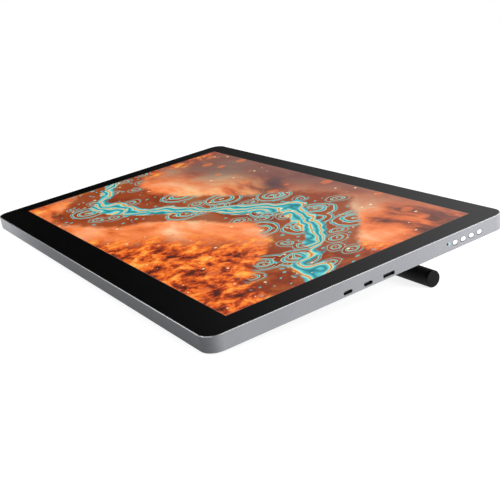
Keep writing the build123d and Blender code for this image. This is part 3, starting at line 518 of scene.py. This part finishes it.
def clear_gel():
    clear, bubbles_per_metre, bubble_depth = (0.93, 0.96, 0.97), 90.0, 0.05 * MM
    material, tree, sockets = new_material("clear_bonding_gel", transmission_weight=0.9, ior=1.41)
    grain = grained(tree, scale=300, shade=0.03, rough=0.06, swing=0.05)
    cells = add(tree, "TexVoronoi", {"Vector": here(tree), "Scale": bubbles_per_metre})
    bubbles = fit(tree, cells.outputs["Distance"], 0.03, 0.06, 1.0, 0.0)
    cover(tree, sockets, scaled(tree, clear, grain["Shade"]), grain, bubble_depth, bubbles)
    return material


dress(clear_gel(), "optical_bond")

# LCD panel: two thin sheets of glass with the liquid crystal between them and polarisers outside.
# Switched off it is near black, with its grid of coloured cells just to be seen.
cell_pitch = 0.248 * MM


def panel_glass():
    ripple_depth = 0.003 * MM
    material, tree, sockets = new_material("panel_glass", ior=1.52, coat_weight=0.6,
                                           coat_roughness=0.08)
    place = parts_of(tree, deck_place(tree))
    third = calc(tree, "FRACT", calc(tree, "DIVIDE", place["X"], cell_pitch))
    tint = ramp(tree, third, (
        (0.0, (0.030, 0.012, 0.012)),
        (0.33, (0.012, 0.026, 0.014)),
        (0.66, (0.012, 0.014, 0.032)),
    ))
    mask = fit(tree, to_and_fro(tree, place["Y"], cell_pitch), 0.0, 0.25)
    grain = grained(tree, scale=700, shade=0.15, rough=0.12, swing=0.06)
    tint = scaled(tree, tint, times(tree, mask, grain["Shade"]))
    cover(tree, sockets, tint, grain, ripple_depth)
    return material


dress(panel_glass(), "lcd_panel")

# Panel frame: ring of black polycarbonate, injection moulded, that clips the backlight's sheets
# together and lifts the LCD by its edge.


def moulded(name, colour, rough, spread=0.16):
    """Injection moulded plastic: spark-eroded grain, flow drifts and paler rubbed edges."""
    material, tree, sockets = new_material(name)
    grain = grained(tree, scale=1500, shade=spread, rough=rough, swing=0.1)
    rubbed = use_group(tree, edge_rub, radius=0.3 * MM, amount=0.3, scale=350)["Mask"]
    pale = [min(1.0, share * 1.6 + 0.03) for share in colour]
    base = mix(tree, rubbed, scaled(tree, colour, grain["Shade"]), pale)
    cover(tree, sockets, base, grain, 0.02 * MM)
    return material


dress(moulded("panel_frame_plastic", (0.10, 0.10, 0.10), 0.55), "panel_frame")

# Backlight: strip of LEDs along the user's edge, an acrylic guide with white dots printed on its
# back, two diffusing films over it and a white foil behind it that sends stray light forward.
dot_pitch = 1.4 * MM
prism_pitch = 0.1 * MM
led_strip_t = 1.0 * MM
led_body_t = 1.6 * MM


def diffuser():
    milky, prism_depth = (0.90, 0.92, 0.93), 0.02 * MM
    material, tree, sockets = new_material("diffuser_film", transmission_weight=0.35)
    grain = grained(tree, scale=5000, shade=0.05, rough=0.42, swing=0.1)
    prisms = to_and_fro(tree, parts_of(tree, deck_place(tree))["Y"], prism_pitch)
    cover(tree, sockets, scaled(tree, milky, grain["Shade"]), grain, prism_depth, prisms)
    return material


def guide_acrylic():
    """The printed dots grow with their distance from the LEDs, so that the screen is lit evenly."""
    acrylic, dot_white, dot_depth = (0.80, 0.90, 0.92), (0.97, 0.97, 0.97), 0.01 * MM
    small_dot, large_dot = 0.14, 0.36
    material, tree, sockets = new_material("guide_acrylic", transmission_weight=0.8, ior=1.49)
    place = deck_place(tree)
    dots = {"Vector": place, "Scale": 1 / dot_pitch, "Randomness": 0.2}
    from_dot = add(tree, "TexVoronoi", dots).outputs["Distance"]
    depth = parts_of(tree, place)["Y"]
    dot_r = fit(tree, depth, -picture_half_d, picture_half_d, small_dot, large_dot)
    print_mask = fit(tree, calc(tree, "SUBTRACT", dot_r, from_dot), 0.0, 0.05)
    grain = grained(tree, scale=500, shade=0.03, rough=0.08, swing=0.04)
    feed(tree, sockets, base_color=mix(tree, print_mask, acrylic, dot_white))
    feed(tree, sockets, roughness=ease(tree, print_mask, grain["Roughness"], 0.6))
    relief(tree, sockets, print_mask, dot_depth)
    return material


def led_strip():
    """From the user's edge inwards: the strip, the white LED bodies and their yellow phosphor."""
    strip_white, body_white = (0.82, 0.83, 0.80), (0.90, 0.90, 0.88)
    phosphor_yellow, lit_colour = (0.85, 0.72, 0.18), (0.9, 0.95, 1.0)
    lit_level, blend = 0.8, 0.1 * MM
    material, tree, sockets = new_material("led_strip", emission_strength=1.0)
    grain = grained(tree, scale=2500, shade=0.1, rough=0.45, swing=0.1)
    depth = parts_of(tree, deck_place(tree))["Y"]
    bar_start = reach("led_bar", deck_rear)[0] - deck_origin.dot(deck_rear)
    body_start = bar_start + led_strip_t
    phosphor_start = body_start + led_body_t
    body = fit(tree, depth, body_start, body_start + blend)
    phosphor = fit(tree, depth, phosphor_start, phosphor_start + blend)
    base = mix(tree, phosphor, mix(tree, body, strip_white, body_white), phosphor_yellow)
    cover(tree, sockets, scaled(tree, base, grain["Shade"]), grain, 0.01 * MM)
    feed(tree, sockets, emission_color=scaled(tree, lit_colour, times(tree, phosphor, lit_level)))
    return material


def reflector_foil():
    foil_white, wave_depth = (0.90, 0.91, 0.92), 0.3 * MM
    material, tree, sockets = new_material("white_reflector_foil")
    grain = grained(tree, scale=3500, shade=0.06, rough=0.7, swing=0.12)
    waves = noise(tree, here(tree), 24.0, 2.0)
    cover(tree, sockets, scaled(tree, foil_white, grain["Shade"]), grain, wave_depth, waves)
    return material


dress(diffuser(), "diffuser_films")
dress(guide_acrylic(), "light_guide")
dress(led_strip(), "led_bar")
dress(reflector_foil(), "reflector_sheet")

# Pen sensing board: glass-fibre board as wide as the screen, with crossed copper loops that sense
# the pen, and a foil shield behind it that keeps the electronics' noise out.
loop_pitch = 6.0 * MM
loop_w = 0.2 * MM


def tracks_group():
    """Copper under a board's mask: fields of runs, crosswise or lengthwise, and tinned pads."""
    field_size = (7.0, 5.0, 1.0)
    routed_share = 0.86
    inputs = {"Pitch": 0.0012, "Upright": 0.0}
    tree, given, result = new_group("board_tracks", inputs, ["Copper", "Pads"])
    place = parts_of(tree, deck_place(tree))
    across = ease(tree, given["Upright"], place["X"], place["Z"])
    spot = add(tree, "CombineXYZ", {"X": across, "Y": place["Y"]}).outputs[0]
    grid = scaled(tree, spot, calc(tree, "DIVIDE", 1.0, given["Pitch"]))
    field = vec(tree, "FLOOR", vec(tree, "DIVIDE", grid, field_size))
    chance = add(tree, "TexWhiteNoise", {"Vector": field}, noise_dimensions="2D").outputs["Value"]
    axis = parts_of(tree, vec(tree, "FRACTION", grid))
    aside = [calc(tree, "PINGPONG", axis[way], 0.5) for way in ("X", "Y")]
    runs = [fit(tree, away, 0.13, 0.17, 1.0, 0.0) for away in aside]
    lines = ease(tree, fit(tree, chance, 0.49, 0.51), *runs)
    routed = fit(tree, chance, routed_share, routed_share + 0.01, 1.0, 0.0)
    sockets = {"Vector": grid, "Scale": 0.5, "Randomness": 0.0}
    holes = add(tree, "TexVoronoi", sockets, voronoi_dimensions="2D").outputs
    lucky = fit(tree, add(tree, "SeparateColor", {0: holes["Color"]}).outputs[0], 0.7, 0.71)
    pads = times(tree, fit(tree, holes["Distance"], 0.16, 0.2, 1.0, 0.0), lucky)
    tree.links.new(times(tree, lines, routed), result["Copper"])
    tree.links.new(pads, result["Pads"])
    return tree


board_tracks = tracks_group()


def board(name, mask_colour, pitch, upright=0.0, loops=False):
    """Etched circuit board: copper shows through the lacquer as paler runs, pads are tinned."""
    tin = (0.66, 0.64, 0.58)
    lit_mask = [share * 2.2 + 0.01 for share in mask_colour]
    material, tree, sockets = new_material(name, coat_weight=0.25, coat_roughness=0.2)
    grain = grained(tree, scale=2200, shade=0.18, rough=0.38, swing=0.1)
    if loops:
        place = parts_of(tree, deck_place(tree))
        aside = [calc(tree, "PINGPONG", place[way], pitch / 2) for way in ("X", "Y")]
        wires = [fit(tree, away, loop_w / 2, loop_w, 1.0, 0.0) for away in aside]
        copper, pads = calc(tree, "MAXIMUM", *wires), times(tree, *wires)
    else:
        found = use_group(tree, board_tracks, pitch=pitch, upright=upright)
        copper, pads = found["Copper"], found["Pads"]
    base = mix(tree, copper, scaled(tree, mask_colour, grain["Shade"]), lit_mask)
    base = mix(tree, pads, base, tin)
    feed(tree, sockets, base_color=base, metallic=pads, roughness=grain["Roughness"])
    relief(tree, sockets, calc(tree, "MAXIMUM", copper, pads), 0.03 * MM)
    return material


def scratch_group():
    """Hairlines from use and cleaning: two sets of long thin streaks that cross at an angle."""
    tree, given, result = new_group("hairlines", {"Scale": 60.0, "Amount": 1.0}, ["Mask"])
    streaks = []
    for turn in (0.5, -0.9):
        sockets = {"Vector": here(tree), "Rotation": (0.3, 0.2, turn), "Scale": (1.0, 34.0, 34.0)}
        lane = add(tree, "Mapping", sockets).outputs["Vector"]
        streaks.append(fit(tree, noise(tree, lane, given["Scale"], detail=1.0), 0.72, 0.78))
    both = calc(tree, "MAXIMUM", *streaks)
    tree.links.new(times(tree, both, given["Amount"]), result["Mask"])
    return tree


hairlines = scratch_group()


def rolled_metal(name, colour, rough, stretch=0.03, scale=900):
    """Rolled sheet: fine lines along the rolling direction, clouds of plating and hairlines."""
    shade_swing, rough_swing, mark_level, line_depth = 0.12, 0.25, 0.15, 0.006 * MM
    material, tree, sockets = new_material(name, metallic=1.0)
    lane = vec(tree, "MULTIPLY", here(tree), (stretch, 1, 1))
    lines = noise(tree, lane, scale, 4.0, roughness=0.6)
    clouds = noise(tree, here(tree), 60.0, 4.0)
    swing = calc(tree, "SUBTRACT", calc(tree, "ADD", lines, clouds), 1.0)
    marks = use_group(tree, hairlines, scale=40, amount=0.4)["Mask"]
    shade = calc(tree, "MULTIPLY_ADD", swing, shade_swing, 1.0)
    shade = calc(tree, "MULTIPLY_ADD", marks, mark_level, shade)
    feed(tree, sockets, base_color=scaled(tree, colour, shade))
    feed(tree, sockets, roughness=calc(tree, "MULTIPLY_ADD", swing, rough_swing, rough))
    relief(tree, sockets, lines, line_depth)
    return material


dress(board("sensing_board", (0.008, 0.040, 0.024), loop_pitch, loops=True), "digitizer_board")
dress(rolled_metal("shield_foil", (0.62, 0.62, 0.63), 0.32), "shield_sheet")

# Chassis plate: stamped aluminium sheet, screwed to the side frame's short bosses with small
# zinc-plated screws. The screen stack rests on it and the boards hang below it.


def turned_metal(name, colour, rough, thread_pitch):
    """Turned and plated small parts: thread rings down the shank, plating rubbed at the edges."""
    material, tree, sockets = new_material(name, metallic=1.0)
    grain = grained(tree, scale=2800, shade=0.2, rough=rough, swing=0.14)
    thread = to_and_fro(tree, parts_of(tree, deck_place(tree))["Z"], thread_pitch)
    rubbed = use_group(tree, edge_rub, radius=0.25 * MM, amount=0.5, scale=600)["Mask"]
    bright = [min(1.0, share * 1.25 + 0.04) for share in colour]
    # The thread's grooves are painted darker as shade, besides their bumps.
    base = scaled(tree, colour, times(tree, grain["Shade"], ease(tree, thread, 0.8, 1.0)))
    cover(tree, sockets, mix(tree, rubbed, base, bright), grain, 0.05 * MM, thread)
    return material


zinc_screw = turned_metal("zinc_plated_screw", (0.60, 0.60, 0.61), 0.34, 0.4 * MM)
mill_aluminium = rolled_metal("mill_aluminium", (0.66, 0.66, 0.68), 0.42, stretch=0.05, scale=600)
dress(mill_aluminium, "chassis_plate")
dress(zinc_screw, "chassis_screws")

# Main board: four-layer board behind the right wall, with black moulded chips on its lower face.
# Its screws stand on the plate's raised seats.


def chip_resin():
    black, rubbed_grey = (0.022, 0.022, 0.024), (0.10, 0.10, 0.10)
    material, tree, sockets = new_material("moulded_chip_resin")
    grain = grained(tree, scale=5200, shade=0.3, rough=0.62, swing=0.14)
    rubbed = use_group(tree, edge_rub, radius=0.2 * MM, amount=0.5, scale=700)["Mask"]
    base = mix(tree, rubbed, scaled(tree, black, grain["Shade"]), rubbed_grey)
    cover(tree, sockets, base, grain, 0.02 * MM)
    return material


dress(board("main_circuit_board", (0.006, 0.036, 0.020), 0.9 * MM), "main_board")
dress(chip_resin(), "main_board_chips")
dress(zinc_screw, "board_screws")

# Source board and cables: a strip of circuit board along the LCD's front edge, amber films that
# bond it to the glass, and flat cables of polyimide with printed copper lines to the main board.


def printed_film(name, way, line_pitch, colour=(0.42, 0.19, 0.035)):
    """Amber polyimide with copper lines that run along it."""
    copper, line_metallic, line_depth = (0.66, 0.33, 0.12), 0.5, 0.03 * MM
    material, tree, sockets = new_material(name, coat_weight=0.4, coat_roughness=0.15)
    grain = grained(tree, scale=1600, shade=0.14, rough=0.34, swing=0.08)
    side = to_and_fro(tree, parts_of(tree, deck_place(tree))[way], line_pitch)
    lines = fit(tree, side, 0.42, 0.58)
    base = mix(tree, lines, scaled(tree, colour, grain["Shade"]), copper)
    feed(tree, sockets, base_color=base, metallic=times(tree, lines, line_metallic))
    feed(tree, sockets, roughness=grain["Roughness"])
    relief(tree, sockets, lines, line_depth)
    return material


dress(board("source_circuit_board", (0.006, 0.030, 0.018), 0.7 * MM), "source_board")
dress(printed_film("driver_film", "X", 0.3 * MM, (0.34, 0.14, 0.025)), "source_films")
dress(printed_film("display_flat_cable", "X", 1.0 * MM), "display_cable")
dress(printed_film("sensor_flat_cable", "Y", 0.8 * MM), "digitizer_ribbon")
dress(printed_film("button_flat_cable", "Z", 0.8 * MM), "button_ribbon")

# Ports: drawn stainless shells that hang under the main board and look into the mouths of the
# wall, each with a black tongue that carries gold-plated contacts.
contact_pitch = 0.5 * MM
contact_length = 3.4 * MM
contact_setback = 0.4 * MM


def port_tongue():
    black, gilt, contact_depth = (0.010, 0.010, 0.011), (0.83, 0.58, 0.22), 0.04 * MM
    material, tree, sockets = new_material("port_tongue_with_contacts")
    grain = grained(tree, scale=3200, shade=0.15, rough=0.4, swing=0.1)
    place = parts_of(tree, deck_place(tree))
    tongue_end = reach("port_tongues", Vector((1, 0, 0)))[1]
    start, end = tongue_end - contact_length, tongue_end - contact_setback
    from_start = fit(tree, place["X"], start, start + 0.05 * MM)
    to_end = fit(tree, place["X"], end - 0.1 * MM, end, 1.0, 0.0)
    side = fit(tree, to_and_fro(tree, place["Y"], contact_pitch), 0.44, 0.54)
    gold = times(tree, side, from_start, to_end)
    base = mix(tree, gold, scaled(tree, black, grain["Shade"]), gilt)
    feed(tree, sockets, base_color=base, metallic=gold)
    feed(tree, sockets, roughness=ease(tree, gold, grain["Roughness"], 0.28))
    relief(tree, sockets, gold, contact_depth)
    return material


shell_steel = rolled_metal("drawn_port_steel", (0.05, 0.05, 0.052), 0.36, stretch=0.05, scale=2600)
dress(shell_steel, "usb_c_shell_front", "usb_c_shell_rear", "hdmi_shell")
dress(port_tongue(), "port_tongues")

# Button board: small board on posts of the right wall, with four tact switches whose black
# housings guide the plungers, and the status light's chip.
dress(board("button_circuit_board", (0.006, 0.034, 0.020), 0.8 * MM, upright=1.0), "button_board")
dress(moulded("switch_plastic", (0.030, 0.030, 0.032), 0.45), "switch_housings")

# Status light: white ceramic chip with a cyan lens, and a clear acrylic rod that brings its light
# through the wall. The rod ends below the face. On the side frame, a dark disc of painted shade
# marks its hole, and a faint cyan glow is painted beside it as light that the frame emits.
status_cyan = (0.05, 0.50, 0.55)


def lamp_chip():
    ceramic, lens_colour, lens_r = (0.85, 0.85, 0.82), (0.45, 0.80, 0.80), 0.6 * MM
    material, tree, sockets = new_material("status_lamp_chip", emission_strength=1.0)
    grain = grained(tree, scale=4000, shade=0.1, rough=0.4, swing=0.1)
    along = parts_of(tree, deck_place(tree))["Y"]
    away = calc(tree, "ABSOLUTE", calc(tree, "SUBTRACT", along, on_deck(middle_of("status_led")).y))
    lens = fit(tree, away, lens_r - 0.1 * MM, lens_r, 1.0, 0.0)
    cover(tree, sockets, mix(tree, lens, ceramic, lens_colour), grain, 0.01 * MM)
    feed(tree, sockets, emission_color=scaled(tree, status_cyan, lens))
    return material


def light_rod():
    tinted, dimmest, brightest = (0.05, 0.12, 0.13), 0.02, 0.10
    material, tree, sockets = new_material("light_rod_acrylic", transmission_weight=0.5, ior=1.49,
                                           emission_strength=1.0)
    grain = grained(tree, scale=1500, shade=0.1, rough=0.2, swing=0.08)
    level = fit(tree, noise(tree, here(tree), 700.0, 3.0), 0.2, 0.8, dimmest, brightest)
    cover(tree, sockets, scaled(tree, tinted, grain["Shade"]), grain, 0.01 * MM)
    feed(tree, sockets, emission_color=scaled(tree, status_cyan, level))
    return material


dress(lamp_chip(), "status_led")
dress(light_rod(), "light_pipe")

# Buttons: white caps with a flange behind the wall, each pressing the plunger of its own switch.
# Moulded in satin white acetal. Shade is painted on the wall in the gap round each cap, and on the
# caps' sides down in that gap.
button_names = [name.removesuffix("_button") for name in nodes if name.endswith("_button")]


def button_plastic():
    """Satin white on the face, and greyer on the sides down in the gap, as painted shade."""
    white, gap_side_shade = (0.88, 0.88, 0.89), (0.42, 0.42, 0.43)
    face_depth, face_blend = 0.7 * MM, 0.3 * MM
    material, tree, sockets = new_material("satin_white_button", coat_weight=0.3,
                                           coat_roughness=0.25)
    grain = grained(tree, scale=3000, shade=0.04, rough=0.36, swing=0.08)
    start = cad_high.x - face_depth
    face = fit(tree, parts_of(tree, deck_place(tree))["X"], start, start + face_blend)
    # Painted shade: the sides of the cap, down in the gap, are grey.
    base = mix(tree, face, gap_side_shade, white)
    cover(tree, sockets, scaled(tree, base, grain["Shade"]), grain, 0.006 * MM)
    return material


acetal = moulded("plunger_acetal", (0.72, 0.72, 0.70), 0.42, spread=0.08)
dress(button_plastic(), *[name + "_button" for name in button_names])
dress(acetal, *[name + "_plunger" for name in button_names])

# Back cover: stamped aluminium pan in the frame's lip, with slotted vents and a raised square for a
# bracket. It is powder coated matt black, and held by countersunk screws.


def dust_group():
    """Dust that settles on faces that look up, in drifts and specks."""
    tree, given, result = new_group("settled_dust", {"Amount": 0.3, "Scale": 90.0}, ["Mask"])
    up = fit(tree, parts_of(tree, add(tree, "NewGeometry").outputs["Normal"])["Z"], 0.2, 0.95)
    drift = fit(tree, noise(tree, here(tree), given["Scale"], 6.0, roughness=0.7), 0.35, 0.75)
    specks = fit(tree, noise(tree, here(tree), 4000.0, 1.0), 0.70, 0.76)
    lying = calc(tree, "ADD", drift, specks)
    tree.links.new(times(tree, lying, up, given["Amount"]), result["Mask"])
    return tree


settled_dust = dust_group()


def coated(name, colour, rough, scale, depth, rub=0.5, **more):
    """Black coated metal: orange-peel grain, hairlines, dust on top, and edges rubbed to grey."""
    rubbed_grey, mark_grey = (0.12, 0.12, 0.125), (0.05, 0.05, 0.052)
    dust_colour, mark_gloss = (0.35, 0.33, 0.30), 0.15
    material, tree, sockets = new_material(name, **more)
    grain = grained(tree, scale=scale, shade=0.35, rough=rough, swing=0.14)
    rubbed = use_group(tree, edge_rub, radius=0.4 * MM, amount=rub, scale=220)["Mask"]
    marks = use_group(tree, hairlines, scale=26, amount=0.5)["Mask"]
    fallen = use_group(tree, settled_dust, amount=0.06)["Mask"]
    base = mix(tree, rubbed, scaled(tree, colour, grain["Shade"]), rubbed_grey)
    base = mix(tree, marks, base, mark_grey)
    feed(tree, sockets, base_color=mix(tree, fallen, base, dust_colour))
    gloss = calc(tree, "MULTIPLY_ADD", marks, -mark_gloss, grain["Roughness"])
    feed(tree, sockets, roughness=gloss)
    relief(tree, sockets, grain["Height"], depth)
    return material


dress(coated("powder_coated_pan", (0.022, 0.022, 0.024), 0.55, 1400, 0.03 * MM), "back_cover")
dress(zinc_screw, "cover_screws")

# Bracket inserts: turned brass nuts, pressed in from inside at the corners of the raised square,
# with an M4 thread in their bores.
dress(turned_metal("turned_brass", (0.70, 0.50, 0.22), 0.30, 0.7 * MM), "vesa_inserts")

# Feet and rest pads: low mounds and flat pads of soft black rubber, moulded, and stuck to the back.
# The folded leg rests on the pads.


def soft_rubber(name, colour, scale, dust=0.05, **more):
    """Matt rubber: a talc-like bloom in its grain, and dust on top."""
    dust_colour = (0.30, 0.29, 0.27)
    material, tree, sockets = new_material(name, **more)
    grain = grained(tree, scale=scale, shade=0.3, rough=0.72, swing=0.14)
    fallen = use_group(tree, settled_dust, amount=dust)["Mask"]
    dusted = mix(tree, fallen, scaled(tree, colour, grain["Shade"]), dust_colour)
    cover(tree, sockets, dusted, grain, 0.03 * MM)
    return material


foot_rubber = soft_rubber("foot_rubber", (0.014, 0.014, 0.015), 1700)
dress(foot_rubber, "front_feet", "rear_feet", "bar_rest_pads")

# Hinges: black steel bases with two ears each, screwed through the back cover into plates inside.
# A pin with a nut clamps spring washers against the leg's knuckle, so that the leg stays put.
black_steel = coated("black_oxide_steel", (0.016, 0.016, 0.017), 0.42, 2400, 0.01 * MM, rub=0.9,
                     metallic=0.3)
backing_steel = rolled_metal("plated_backing_steel", (0.55, 0.56, 0.57), 0.38, scale=700)
washer_steel = turned_metal("spring_washer_steel", (0.50, 0.49, 0.47), 0.3, 0.2 * MM)
dress(black_steel, "hinge_base_left", "hinge_base_right", "hinge_screws")
dress(black_steel, "hinge_pins", "hinge_nuts")
dress(backing_steel, "hinge_backing_plates")
dress(washer_steel, "friction_washers")

# Stand leg: two flat bars of black painted steel, welded to a knuckle at the hinge and to an eye
# round the foot tube, where a set screw holds each of them.
leg_steel = coated("painted_leg_steel", (0.014, 0.014, 0.015), 0.45, 1600, 0.015 * MM)
dress(leg_steel, "stand_arm_left", "stand_arm_right", "foot_tube")
dress(black_steel, "bar_set_screws")

# Foot bar: rubber sleeves over the steel tube, closed by moulded caps pushed into its ends.
# The flat of each cap is finely textured and a little paler than its rounded rim.
sleeve_rubber = soft_rubber("sleeve_rubber", (0.006, 0.006, 0.007), 2000, dust=0.015,
                            specular_ior_level=0.22)


def cap_plastic():
    rim_black, flat_black = (0.0015, 0.0015, 0.0015), (0.0022, 0.0022, 0.0024)
    flat_depth, grain_depth = 0.15 * MM, 0.03 * MM
    material, tree, sockets = new_material("bar_cap_plastic", specular_ior_level=0.13)
    grain = grained(tree, scale=2200, shade=0.35, rough=0.5, swing=0.12)
    bar_end = reach("end_caps", Vector((1, 0, 0)))[1]
    out = calc(tree, "ABSOLUTE", parts_of(tree, here(tree))["X"])
    flat = fit(tree, out, bar_end - flat_depth, bar_end - 0.02 * MM)
    base = mix(tree, flat, rim_black, flat_black)
    cover(tree, sockets, scaled(tree, base, grain["Shade"]), grain, grain_depth)
    return material


dress(sleeve_rubber, "rubber_sleeves")
dress(cap_plastic(), "end_caps")

# Studio: a plain pale floor, a broad soft sun high at the right, a softbox at each side, and a dim
# sky that is white along the horizon. Broad glows in it show in the glass, and small ones in the
# cut edge. The camera stands where the photograph was taken from.
floor_reach, floor_sides = 25.0, 96
floor_grey = (0.33, 0.33, 0.33)
floor_lift = 0.855
white = (1, 1, 1, 1)
scene = bpy.context.scene


def direct_view(tree):
    """Rays that show the studio itself: straight from the camera, mirrored, or through glass."""
    ray = add(tree, "LightPath").outputs
    seen = calc(tree, "MAXIMUM", ray["Is Camera Ray"], ray["Is Glossy Ray"])
    return calc(tree, "MAXIMUM", seen, ray["Is Transmission Ray"])


def pale_floor():
    material, tree, sockets = new_material("pale_floor", roughness=0.9, specular_ior_level=0.0,
                                           emission_color=white)
    mottle = fit(tree, noise(tree, here(tree), 900.0, 4.0), 0.3, 0.7, 0.985, 1.0)
    feed(tree, sockets, base_color=scaled(tree, floor_grey, mottle))
    feed(tree, sockets, emission_strength=times(tree, direct_view(tree), floor_lift))
    return material


def floor_mesh():
    shape = bmesh.new()
    bmesh.ops.create_circle(shape, cap_ends=True, segments=floor_sides, radius=floor_reach)
    mesh = bpy.data.meshes.new("floor")
    shape.to_mesh(mesh)
    shape.free()
    mesh.materials.append(pale_floor())
    return mesh


floor = bpy.data.objects.new("floor", floor_mesh())
scene.collection.objects.link(floor)


def heading(turn, rise):
    """Direction at an angle from +X towards +Y and one above the horizon, in degrees."""
    turn, rise = radians(turn), radians(rise)
    return Vector((cos(turn) * cos(rise), sin(turn) * cos(rise), sin(rise)))


# Broad glows: heading, how far off it the glow ends and is full, as cosines, and level
broad_glows = (
    (100, 0.46, 0.98, 0.72),
    (62, 0.70, 0.98, 0.66),
)
# Small glows: heading, rise, and the same
small_glows = (
    (206, 24, 0.970, 0.9925, 2.1),
    (236, 38, 0.965, 0.988, 2.0),
    (270, 52, 0.92, 0.98, 1.0),
    (52, 53, 0.955, 0.988, 0.55),
)
sky_level, top_level = 0.001, 0.5
top_start, top_full = 0.72, 0.98


def soft_sky():
    """A dim sky with glows at given headings, white along the horizon and behind the object."""
    world = bpy.data.worlds.new("soft_sky")
    world.use_nodes = True
    tree = world.node_tree
    tree.nodes.clear()
    way = add(tree, "TexCoord").outputs["Generated"]
    rise = parts_of(tree, way)["Z"]
    level = fit(tree, rise, top_start, top_full, sky_level, top_level)
    flat = vec(tree, "NORMALIZE", vec(tree, "MULTIPLY", way, (1, 1, 0)))
    # The broad glows are weaker up to 25 degrees of rise, and fade out overhead
    stronger, lower = fit(tree, rise, 0.41, 0.45, 0.70, 1.35), fit(tree, rise, 0.55, 0.9, 1.0, 0.0)
    for turn, edge, full, strength in broad_glows:
        near = vec(tree, "DOT_PRODUCT", flat, heading(turn, 0), out="Value")
        glow = times(tree, fit(tree, near, edge, full, 0.0, strength), stronger, lower)
        level = calc(tree, "ADD", level, glow)
    for turn, up, edge, full, strength in small_glows:
        near = vec(tree, "DOT_PRODUCT", way, heading(turn, up), out="Value")
        level = calc(tree, "ADD", level, fit(tree, near, edge, full, 0.0, strength))
    # Mirrors and glass show a low white wall along the horizon, and the camera sees only white
    wall = times(tree, direct_view(tree), fit(tree, rise, 0.05, 0.08, 1.0, 0.0))
    horizon = calc(tree, "MAXIMUM", wall, fit(tree, rise, 0.02, 0.05, 1.0, 0.0))
    plain = calc(tree, "MAXIMUM", horizon, add(tree, "LightPath").outputs["Is Camera Ray"])
    sky = {"Color": white, "Strength": ease(tree, plain, level, 1.0)}
    background = add(tree, "Background", sky)
    output = tree.nodes.new("ShaderNodeOutputWorld")
    tree.links.new(background.outputs[0], output.inputs["Surface"])
    return world


scene.world = soft_sky()

sun_level, sun_spread = 1.51, 45
sun_turn, sun_rise = 20, 36
sun = bpy.data.lights.new("soft_key", "SUN")
sun.energy = sun_level
sun.angle = radians(sun_spread)
sun_object = bpy.data.objects.new("soft_key", sun)
sun_object.rotation_mode = "QUATERNION"
sun_object.rotation_quaternion = heading(sun_turn, sun_rise).to_track_quat("Z", "Y")
scene.collection.objects.link(sun_object)


def softbox(name, energy, size, place, target):
    """A square lamp that faces a target and isn't seen itself."""
    lamp = bpy.data.lights.new(name, "AREA")
    lamp.energy = energy
    lamp.size = size
    stand = bpy.data.objects.new(name, lamp)
    stand.location = place
    stand.rotation_mode = "QUATERNION"
    stand.rotation_quaternion = (Vector(place) - Vector(target)).to_track_quat("Z", "Y")
    stand.visible_camera = False
    scene.collection.objects.link(stand)
    return stand


softbox("right_softbox", energy=2.3, size=0.35, place=(0.60, 0.36, 0.26),
        target=(cad_high.x, 0.10, 0.05))
left_softbox = softbox("left_softbox", energy=0.14, size=0.08, place=(-0.265, -0.265, 0.05),
                       target=(-0.255, -0.16, 0.012))
left_softbox.visible_glossy = False

camera_place = (0.827848, -0.473164, 0.250444)
camera_turn, camera_drop = 58.005, 14.354
camera_lens, camera_sensor = 65.175, 36
camera = bpy.data.cameras.new("camera")
camera.sensor_width = camera_sensor
camera.lens = camera_lens
camera.clip_end = 4 * floor_reach
camera_object = bpy.data.objects.new("camera", camera)
camera_object.location = camera_place
camera_object.rotation_euler = (radians(90 - camera_drop), 0, radians(camera_turn))
scene.collection.objects.link(camera_object)
scene.camera = camera_object
scene.view_settings.view_transform = "Standard"
